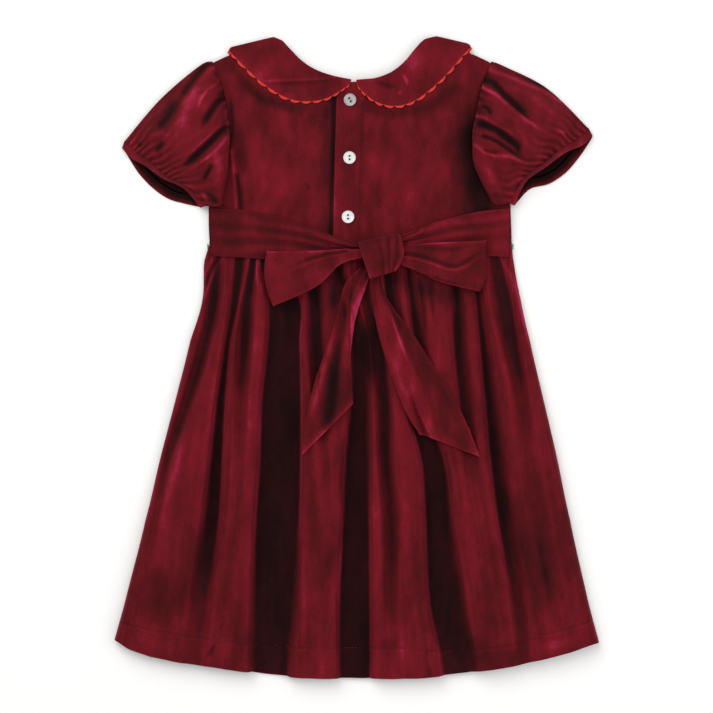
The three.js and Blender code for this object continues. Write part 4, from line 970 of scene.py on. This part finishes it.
def closeRing(overAt, soleAt):
    # over the top, down two heels behind the last point, and back under the sleeve
    over = [overAt(k / sleeveLook["top"]) for k in range(sleeveLook["top"] + 1)]
    tip, foot = over[-1], soleAt(1)
    heels = [[mix(foot[0], tip[0], heel["lean"]), mix(foot[1], tip[1], heel["lean"]),
              min(heel["z"], tip[2] * heel["most"])] for heel in sleeveLook["heel"]]
    return over + heels + [soleAt(turn) for turn in soleTurns()]


def sleeveRing(lines, out):
    return closeRing(lambda turn: puffPoint(lines, turn, out), lambda turn: solePoint(lines, turn, out))


def cuffRing(lines):
    return closeRing(lambda turn: linePoint(lines["cuff"], turn), lambda turn: linePoint(lines["hem"], turn))


def onRing(ring, share):
    # a smooth closed curve through the ring's points
    index = share * len(ring)
    at = int(index) % len(ring)
    part = index - int(index)
    near = [ring[(at + step) % len(ring)] for step in (-1, 0, 1, 2)]
    return [through([point[axis] for point in near], 1 + part) for axis in range(3)]


def sleeveAt(lines, marks, seed):
    look, napAndPaintedLight = sleeveLook, sleevePaintedLight
    rings = {}

    def at(u, v):
        if v not in rings:
            rings[v] = sleeveRing(lines, v)
        x, y, z = onRing(rings[v], u)
        turn = u / overShare
        # under the sleeve the value is painted shade, going black inside the hollow
        if turn > 1:
            return x, y, max(z, 0), mix(napAndPaintedLight["inside"], 0, ease((v - 0.45) / 0.3))
        level = math.sin(math.pi * turn)
        body = min(1, 1.6 * level)
        rise, shade = creases(marks, x, y)
        wander = look["wander"] * ripple(x, y, 16, 16, seed)
        run = look["gatherRun"] * (1 + look["uneven"] * ripple(x, y, 9, 9, seed + 3))
        gather = math.sin(2 * math.pi * look["gathers"] * turn + wander)
        # the gathers start from nothing at the stitching itself
        seamPleat = gather * fall(v, run) * ease(v / look["stitchRun"])
        cuffPleat = gather * fall(1 - v, run) * ease((1 - v) / look["stitchRun"])
        z += body * (rise * ease(v / look["creaseRun"]) * ease((1 - v) / look["creaseRun"])
                     + look["seamRise"] * seamPleat + look["cuffRise"] * cuffPleat)
        z += body * look["softRise"] * ripple(x, y, 12, 12, seed + 1)
        # painted highlights on the pleats' crests, painted shade between them and at the stitching
        bright = napAndPaintedLight["base"] + shade + napAndPaintedLight["seamPleat"] * seamPleat + napAndPaintedLight["cuffPleat"] * cuffPleat
        bright += napAndPaintedLight["soft"] * ripple(x, y, 20, 20, seed + 2)
        bright -= napAndPaintedLight["stitching"] * rims(v, 1, look["stitchRun"], look["stitchRun"])
        return x, y, z, bright
    return at


def cuffAt(lines):
    look = cuffLook
    edge = cuffRing(lines)
    # the binding starts just inside the sleeve's edge
    begin = [list(Vector(p) + (Vector(q) - Vector(p)).normalized() * look["gap"])
             for p, q in zip(sleeveRing(lines, 1), edge)]

    def at(u, v):
        p, q = onRing(begin, u), onRing(edge, u)
        x, y, z = (mix(p[axis], q[axis], v) for axis in range(3))
        # the binding's underside: painted shade, darkest deep inside
        if u > overShare:
            return x, y, z, mix(0, look["napAndPaintedLight"], ease((v - 0.3) / 0.7))
        # a rounded roll, with a painted highlight on its turned edge and painted shade at its seam
        lift = look["roll"] * math.sin(math.pi * v) - look["tuck"] * (1 - ease(v / look["tuckRun"])) if z > 2 else 0
        bright = look["napAndPaintedLight"] + look["edgePaintedHighlight"] * v - look["seamPaintedShade"] * fall(v, look["seamRun"])
        return x, y, z + lift, bright + look["softNap"] * ripple(x, y, 9, 9, 13)
    return at


def makeSleeve(side, lines, marks, seed):
    body = layVelvet(f"sleeve{side}", f"sleeve_{side.lower()}", sleeveLook["columns"], sleeveLook["rows"],
                     sleeveAt(lines, marks, seed), sleeveLook["wall"], ring=True, lookingUp=(0.1, 0.5, 0.1, 0.9))
    cuff = layVelvet(f"cuff{side}", f"cuff_{side.lower()}", sleeveLook["columns"], cuffLook["rows"],
                     cuffAt(lines), sleeveLook["wall"], ring=True, lookingUp=(0.1, 0.5, 0, 1))
    return body, cuff


sleeveLeftPiece, cuffLeftPiece = makeSleeve("Left", sleeveLeft, leftSleeveMarks, 20)
sleeveRightPiece, cuffRightPiece = makeSleeve("Right", sleeveRight, rightSleeveMarks, 30)
print("the sleeves are gathered and bound")

# Sash halves from the side seams to the knot
sashLeft = {
    "x": [-126, -96, -66, -40, -20, 0, 13],
    "top": [129, 127.5, 121.5, 113, 105, 98, 96],
    "bottom": [87.5, 86, 83.5, 84, 86, 88, 88],
}
sashRight = {
    "x": [134, 108, 87, 65, 42, 28],
    "top": [129, 126, 121.5, 115.5, 106, 99],
    "bottom": [86.5, 88, 87.5, 86, 85, 87],
}
sashLook = {"columns": 90, "rows": 44, "wall": 1.1, "folds": 3, "foldRise": (0.5, 1.3), "foldPaintedLight": (0.10, 0.26),
            "fine": 7, "clear": 0.9, "reach": 4.5}


def ground(x, y, reach):
    places = ((0, 0), (-reach, 0), (reach, 0), (-reach / 2, reach / 2), (reach / 2, reach / 2),
              (-reach / 2, -reach / 2), (reach / 2, -reach / 2))
    return max(backHeight(x + dx, y + dy) if y + dy > layers["waistY"] else skirtHeight(x + dx, y + dy)
               for dx, dy in places)


def sashAt(outline, seed, napAndPaintedLight):
    look = sashLook

    def at(u, v):
        x = through(outline["x"], u * (len(outline["x"]) - 1))
        top, bottom = (straight(outline["x"], outline[side], x) for side in ("top", "bottom"))
        y = mix(bottom, top, v)
        # folds gather towards the knot and fade out at the seam
        bend = v + 0.10 * ripple(u * 100, v * 40, 30, 20, seed)
        fold = math.sin(math.pi * look["folds"] * bend) ** 2
        rise = mix(*look["foldRise"], u)
        fine = math.sin(2 * math.pi * (look["fine"] * v + 1.5 * ripple(x, y, 40, 12, seed + 1)))
        fine *= ease((u - 0.35) / 0.6)
        z = ground(x, y, look["reach"]) + look["clear"] + layers["cloth"] + rise * fold + 0.35 * fine
        # painted light follows the folds, with painted highlights on both edges
        bright = napAndPaintedLight + mix(*look["foldPaintedLight"], u) * (fold - 0.5) * 2 * 0.6 + 0.10 * fine
        bright += 0.16 * rims(v, top - bottom, 1.2, 1.2)
        return x, y, z, bright + 0.10 * ripple(x, y, 30, 9, seed + 2)
    return at


sashLeftPiece = layVelvet("sashLeft", "sash_left", sashLook["columns"], sashLook["rows"],
                          sashAt(sashLeft, 40, 0.47), sashLook["wall"])
sashRightPiece = layVelvet("sashRight", "sash_right", sashLook["columns"], sashLook["rows"],
                           sashAt(sashRight, 44, 0.58), sashLook["wall"])

# The bow: loops from under the knot out to their fold and back, the knot over them, and two tails
loopLeft = {
    "upper": [[10, 91], [-36, 90], [-71, 91], [-76, 91.8], [-73, 91.2], [-38, 91.6], [-12, 93], [10, 93]],
    "lower": [[10, 88], [-29, 75], [-64, 57], [-71, 45], [-67, 45.5], [-34, 60.5], [-12, 80.5], [10, 86]],
    "z": [13, 12, 11.2, 13.4, 16.2, 17.2, 18, 17],
}
loopRight = {
    "upper": [[34, 92], [70, 94], [106, 98], [113.2, 100.6], [109, 100.5], [72, 98.5], [46, 96], [34, 94]],
    "lower": [[34, 83], [70, 71], [101, 62], [107.5, 57.2], [103, 57.2], [72, 65.5], [46, 77], [34, 82]],
    "z": [11.6, 10.8, 10.6, 13, 15.8, 16.8, 17.4, 16.6],
}
knot = {
    "left": [[2, 100], [2.5, 98], [4, 92], [7, 83], [10, 74], [12, 68.5], [13, 67]],
    "right": [[37, 107], [39, 105], [41, 99], [42, 89], [39, 80], [36, 75.5], [35, 74]],
    "z": [9.2, 18.5, 23.5, 25, 23.5, 20, 13.9],
}
tailLeft = {
    "left": [[4, 77], [-8, 65], [-13, 50], [-17, 34], [-26, 6], [-36, -24], [-43, -52], [-47, -86]],
    "right": [[14, 75], [9, 60], [3, 43], [-1, 27], [-4, 2], [-3, -18], [-2.5, -32], [-2, -41]],
}
tailRight = {
    "left": [[15.5, 75], [14, 60], [16, 40], [20, 19], [28, -7], [39, -38], [48, -56], [56, -67]],
    "right": [[22, 77], [24, 58], [34, 41], [49, 21], [66, -5], [83, -31], [96, -57], [108, -87]],
}
bowLook = {"wall": 1.0, "band": 1.2, "loopColumns": 34, "loopRows": 110, "knotColumns": 60, "knotRows": 60,
           "tailColumns": 44, "tailRows": 110, "tailFolds": 1.5, "tailRise": 1.4, "tailClear": 0.1, "tailReach": 7,
           "loopFold": 0.43, "loopPuff": 0.9, "loopSoft": 0.2, "pleats": 5.5, "pleatBend": 0.5, "pleatFrom": 0.46,
           "pleatRun": 0.16, "pleatRise": 0.7, "knotCrease": 0.5, "tailSoft": 0.25}
# painted light on the bow: painted highlights on rims, folds and the knot's foot, painted shade in the knot's crease
# and between its pleats
bowPaintedLight = {"loop": 0.56, "loopRim": 0.22, "loopFold": 0.18, "knot": 0.46, "knotPleat": 0.14, "knotRim": 0.18,
          "knotCrease": 0.12, "knotFoot": 0.22, "knotSoft": 0.08, "tailRim": 0.09, "tailEnd": 0.16, "soft": 0.14}
# bow creases: a negative shade is painted shade, a positive one a painted highlight
loopLeftMarks = measured(
    ("350,253.5 330,257 310,263 296.7,268.6 284,275", 1.4, 0.1, 1.1, "end"),
    ("346,251.8 330,253.7 310,259 296.7,265", 1.5, -0.24, -1.1, "end"),
    ("340,251 320,251.5 300,252.5", 1.5, 0.12, 0.4, "end"),
    ("290,285 310,282 330,272", 7, 0.05, 0.6, "end"),
)
loopRightMarks = measured(
    ("403,257 418,259.5 432,264 446,269.4 456,270.2 466,266.5 476,259.5 486,253.5", 1.4, 0.2, 0.8, "end"),
    ("403,253.6 419,256 433,260.4 447,265.6 456,266.4 464,263 474,256 484,250", 1.9, -0.24, -0.8, "end"),
    ("406,269 425,275.5 445,281.5 468,287", 0.9, -0.3, -0.5, "end"),
    ("404,246 425,247.5 450,250 470,247", 2.2, -0.18, -0.8, "end"),
    ("404,243 430,243 460,241.5", 1.4, 0.14, 0.8, "end"),
)
tailLeftMarks = measured(
    ("341,306 333.4,335 327,359 320.6,382 314,407 308,426", 3.6, 0.36, 0.8),
    ("338,336 335,369 333,395 327,420 316,432", 5.6, -0.46, -1),
    ("344,300 345,322", 1.6, -0.16, -0.6),
    ("351.5,284 350,300 349.5,330 349.8,358", 0.8, -0.22, -0.3),
    ("352.5,404 344.8,414 328.3,427 315.5,442 306.6,452", 3.6, 0.16, 0.5, "none"),
)
tailRightMarks = measured(
    ("378,284 390.8,313 398.4,337.4 411.2,370.6", 1.1, 0.28, 0.8),
    ("393,306 402.4,336 415,366 426,392", 2.6, -0.14, -0.6),
    ("376,296 381,322 388,348 401,384 412,406", 3.2, 0.12, 0.4),
    ("430,420 450,432 470,446", 4, -0.06),
)


def bandPoint(band, one, other, along, across):
    # a place on a band between two lines, and how wide the band is there
    index = along * (len(band[one]) - 1)
    read = [[through([point[axis] for point in band[name]], index) for axis in (0, 1)] for name in (one, other)]
    return [mix(read[0][axis], read[1][axis], across) for axis in (0, 1)], math.dist(*read)


def bandHeight(band, along):
    return through(band["z"], along * (len(band["z"]) - 1))


def loopAt(band, marks, seed, outward, skew):
    look, napAndPaintedLight = bowLook, bowPaintedLight

    def at(u, v):
        (x, y), width = bandPoint(band, "upper", "lower", v, u)
        fromFold = v - look["loopFold"]  # a loop turns back before the middle of its run
        x += outward * math.sin(math.pi * u ** skew) * bell(fromFold, 0.22)
        rise, shade = creases(marks, x, y) if v > 0.5 else (0, 0)
        puff = look["loopPuff"] * math.sin(math.pi * u) * math.sin(math.pi * clamp(2 * v - 1))
        soft = ripple(x, y, 16, 16, seed)
        z = bandHeight(band, v) + puff + rise * ease((v - 0.5) / 0.1) + look["loopSoft"] * soft
        # painted highlights on the loop's edges and at its fold
        bright = napAndPaintedLight["loop"] + shade + napAndPaintedLight["loopRim"] * rims(u, width, 1.1, 1.1)
        return x, y, z, bright + napAndPaintedLight["loopFold"] * bell(fromFold, 0.04) + napAndPaintedLight["soft"] * soft
    return at


def knotAt(u, v):
    look, napAndPaintedLight = bowLook, bowPaintedLight
    (x, y), width = bandPoint(knot, "left", "right", v, u)
    # a flat face on the left, curved pleats on the right: thin dark lines of painted shade between broad bands, which
    # also rise
    phase = look["pleats"] * u + look["pleatBend"] * (math.sin(math.pi * v) + ripple(x, y, 7, 16, 51))
    pleat = (2 * abs(math.sin(math.pi * phase)) ** 0.6 - 1) * ease((u - look["pleatFrom"]) / look["pleatRun"])
    crease = bell(u - 0.42 - 0.08 * v, 0.03)
    bright = napAndPaintedLight["knot"] + napAndPaintedLight["knotPleat"] * pleat + napAndPaintedLight["knotRim"] * rims(u, width, 1.2, 1.4)
    bright += napAndPaintedLight["knotFoot"] * bell(v - 0.84, 0.12) - napAndPaintedLight["knotCrease"] * crease
    z = bandHeight(knot, v) + look["pleatRise"] * pleat - look["knotCrease"] * crease * ease(v / 0.2)
    return x, y, z, bright + napAndPaintedLight["knotSoft"] * ripple(x, y, 8, 8, 50)


# painted light and shade across each tail, left edge to right edge: at the knot, at a third, at two thirds, at its
# end
tailLeftPaintedLight = [[0.5, 0.5, 0.42, 0.3, 0.42, 0.26, 0.3, 0.42], [0.5, 0.5, 0.44, 0.4, 0.5, 0.72, 1, 0.9],
               [0.5, 0.5, 0.5, 0.5, 0.5, 0.62, 0.58, 0.5], [0.55, 0.5, 0.5, 0.5, 0.5, 0.5, 0.5, 0.5]]
tailRightPaintedLight = [[0.4, 0.44, 0.5, 0.55, 0.55, 0.4, 0.4, 0.5], [0.54, 0.56, 0.62, 0.66, 0.68, 0.38, 0.32, 0.4],
                [0.62, 0.64, 0.66, 0.62, 0.55, 0.48, 0.44, 0.52], [0.62, 0.62, 0.62, 0.56, 0.5, 0.46, 0.46, 0.6]]


def tailAt(band, paintedLightRows, marks, seed):
    look, napAndPaintedLight = bowLook, bowPaintedLight

    def at(u, v):
        (x, y), width = bandPoint(band, "left", "right", v, u)
        wave = look["tailRise"] * math.cos(2 * math.pi * look["tailFolds"] * u)
        z = ground(x, y, look["tailReach"]) + look["tailClear"] + look["band"] + look["tailRise"] + wave
        rows = [through(row, u * (len(row) - 1)) for row in paintedLightRows]
        # painted highlights on the tail's edges and at its end
        rim = 0.25 * fall(u * width, 1) + fall((1 - u) * width, 1)
        rise, shade = creases(marks, x, y)
        end = fall(1 - v, 0.012) + 0.5 * fall(1 - v, 0.06)
        bright = through(rows, v * (len(rows) - 1)) + shade + napAndPaintedLight["tailRim"] * rim + napAndPaintedLight["tailEnd"] * end
        bright += napAndPaintedLight["soft"] * ripple(x, y, 14, 26, seed)
        return x, y, z + rise + look["tailSoft"] * ripple(x, y, 14, 26, seed + 1), bright
    return at


def makeLoop(name, node, placeAt):
    return layVelvet(name, node, bowLook["loopColumns"], bowLook["loopRows"], placeAt, bowLook["wall"],
                     lookingUp=(0, 1, 0.6, 1))


def makeTail(name, node, placeAt):
    return layVelvet(name, node, bowLook["tailColumns"], bowLook["tailRows"], placeAt, bowLook["wall"])


bowLoopLeft = makeLoop("bowLoopLeft", "bow_loop_left", loopAt(loopLeft, loopLeftMarks, 52, -5.2, 1))
bowLoopRight = makeLoop("bowLoopRight", "bow_loop_right", loopAt(loopRight, loopRightMarks, 54, 4.6, 1.9))
bowKnot = layVelvet("bowKnot", "bow_knot", bowLook["knotColumns"], bowLook["knotRows"], knotAt, bowLook["wall"])
bowTailLeft = makeTail("bowTailLeft", "bow_tail_left", tailAt(tailLeft, tailLeftPaintedLight, tailLeftMarks, 56))
bowTailRight = makeTail("bowTailRight", "bow_tail_right", tailAt(tailRight, tailRightPaintedLight, tailRightMarks, 58))
print("the sash is tied")

# Two-hole buttons of cast resin
buttonLook = {"radius": 5.4, "height": 1.9, "lip": 0.55, "dishInset": 0.3, "dish": 0.5, "holeRadius": 0.85,
              "holeSpread": 1.5, "holeSides": 16, "sides": 40, "edge": 0.22, "cloudMm": 4, "darker": 0.82,
              "roughness": 0.28, "ior": 1.53, "coat": 0.2, "coatRoughness": 0.1}
# the first button's darker tint is painted shade; the other two tints are the resin's own light grey
buttons = [{"x": -4.8, "y": 223, "turn": 0.5, "tint": "#9f9a99"},
           {"x": -5.2, "y": 172.7, "turn": 0, "tint": "#d6d4d3"},
           {"x": -6.5, "y": 121.4, "turn": 0, "tint": "#dad8d8"}]


def makeResin(name, tint):
    look = buttonLook
    material, tree = emptyMaterial(name)  # cast polyester resin: glossy, faintly clouded
    place = addNode(tree, "TexCoord")
    cloud = addNode(tree, "TexNoise", {"Scale": 1000 / look["cloudMm"], "Detail": 2},
                    {"Vector": place.outputs["Object"]})
    shade = addNode(tree, "Math", {"operation": "MULTIPLY", 1: 0.5}, {0: cloud.outputs["Fac"]})
    darker = tuple(c * look["darker"] for c in colour(tint)[:3]) + (1,)
    mixed = addTints(tree, colour(tint), darker, shade.outputs[0])
    addShader(tree, {"Roughness": look["roughness"], "IOR": look["ior"], "Coat Weight": look["coat"],
                     "Coat Roughness": look["coatRoughness"]}, {"Base Color": mixed})
    return material


def circle(bm, y, radius, sides):
    made = bmesh.ops.create_circle(bm, segments=sides, radius=radius * mm)
    bmesh.ops.translate(bm, verts=made["verts"], vec=Vector((0, y, 0)) * mm)
    return list({edge for vert in made["verts"] for edge in vert.link_edges})


def turnFlat(bm, verts, angle):
    bmesh.ops.rotate(bm, verts=verts, cent=(0, 0, 0), matrix=Matrix.Rotation(angle, 3, "Z"))


def makeButton(number, spec):
    bm = bmesh.new()
    look = buttonLook
    edges = circle(bm, 0, look["radius"], look["sides"])
    for side in (-1, 1):
        edges += circle(bm, side * look["holeSpread"], look["holeRadius"], look["holeSides"])
    bmesh.ops.triangle_fill(bm, use_beauty=True, edges=edges)
    made = bmesh.ops.extrude_face_region(bm, geom=bm.faces[:])
    raised = [item for item in made["geom"] if isinstance(item, bmesh.types.BMVert)]
    bmesh.ops.translate(bm, verts=raised, vec=(0, 0, look["height"] * mm))
    bmesh.ops.recalc_face_normals(bm, faces=bm.faces)
    top = [face for face in bm.faces if face.normal.z > 0.9]
    # the raised rim with the dish inside it
    bmesh.ops.inset_region(bm, faces=top, thickness=look["lip"] * mm, use_boundary=True, use_even_offset=True)
    for vert in {v for face in top if face.is_valid for v in face.verts}:
        if vert.co.xy.length < (look["radius"] - look["dishInset"]) * mm:
            vert.co.z -= look["dish"] * mm
    sharp = [edge for edge in bm.edges if len(edge.link_faces) == 2 and edge.calc_face_angle() > 0.8]
    bmesh.ops.bevel(bm, geom=sharp, offset=look["edge"] * mm, offset_type="OFFSET", segments=3, profile=0.5,
                    affect="EDGES", material=-1, clamp_overlap=True)
    x, y = spec["x"], spec["y"]
    around = [backHeight(x + i * look["radius"], y + j * look["radius"]) for i in (-1, 0, 1) for j in (-1, 0, 1)]
    turnFlat(bm, bm.verts, spec["turn"])
    bmesh.ops.translate(bm, verts=bm.verts, vec=Vector((x, y, max(around) + layers["gap"])) * mm)
    button = finishMesh(f"button{number}", bm)
    return settle(button, makeResin(f"castResin{number}", spec["tint"]), f"button_{number}")


for number, spec in enumerate(buttons, 1):
    makeButton(number, spec)
print("the buttons are sewn on")

# Machine stitches: the hem and the placket
stitchLook = {"length": 2.3, "space": 0.7, "thick": 0.34, "napAndPaintedLight": 0.5, "hemSink": 0.2, "placketSink": 0.15}
threadLook = {
    "stops": [(0.0, "#4a0f18"), (0.22, "#641624"), (0.5, "#84203a"), (0.72, "#962a46"), (1.0, "#a83454")],
    "drawn": 1, "patchMm": 30, "patchShare": 0.2, "crushMm": 5, "crushShare": 0.1, "pileMm": 0.5,
    "pileShare": 0.3, "roughness": 0.6, "specular": 0.08, "sheen": 0.1, "sheenRoughness": 0.4,
    "sheenTint": "#c8506a", "bumpMm": 0.08, "bumpStrength": 0.4,
}
thread = makeVelvet("spunPolyesterThread", threadLook)


def stitchRow(name, line, heightAt):
    bm = bmesh.new()
    lengths = [math.dist(a, b) for a, b in zip(line, line[1:])]
    step = stitchLook["length"] + stitchLook["space"]
    size = (stitchLook["length"], stitchLook["thick"], stitchLook["thick"])
    at = step
    while at < sum(lengths) - step:
        left, index = at, 0
        while left > lengths[index]:
            left -= lengths[index]
            index += 1
        (ax, ay), (bx, by) = line[index], line[index + 1]
        x, y = mix(ax, bx, left / lengths[index]), mix(ay, by, left / lengths[index])
        verts = bmesh.ops.create_icosphere(bm, subdivisions=1, radius=0.5 * mm)["verts"]
        bmesh.ops.scale(bm, verts=verts, vec=size)
        turnFlat(bm, verts, math.atan2(by - ay, bx - ax))
        bmesh.ops.translate(bm, verts=verts, vec=Vector((x, y, heightAt(x, y))) * mm)
        at += step
    napAndPaintedLight = bm.verts.layers.float.new("napAndPaintedLight")
    for vert in bm.verts:
        vert[napAndPaintedLight] = stitchLook["napAndPaintedLight"]
    return settle(finishMesh(name, bm), thread)


placketStitchLine = path("363.3,103 360.8,176.7 359.6,212 359,228")
hemStitches = stitchRow("hemStitches", hemStitchLine[1:-1],
                        lambda x, y: max(layers["backBase"], skirtHeight(x, y)) - stitchLook["hemSink"])
placketStitches = stitchRow("placketStitches", placketStitchLine,
                            lambda x, y: backHeight(x, y) - stitchLook["placketSink"])
print("the stitch lines are in")
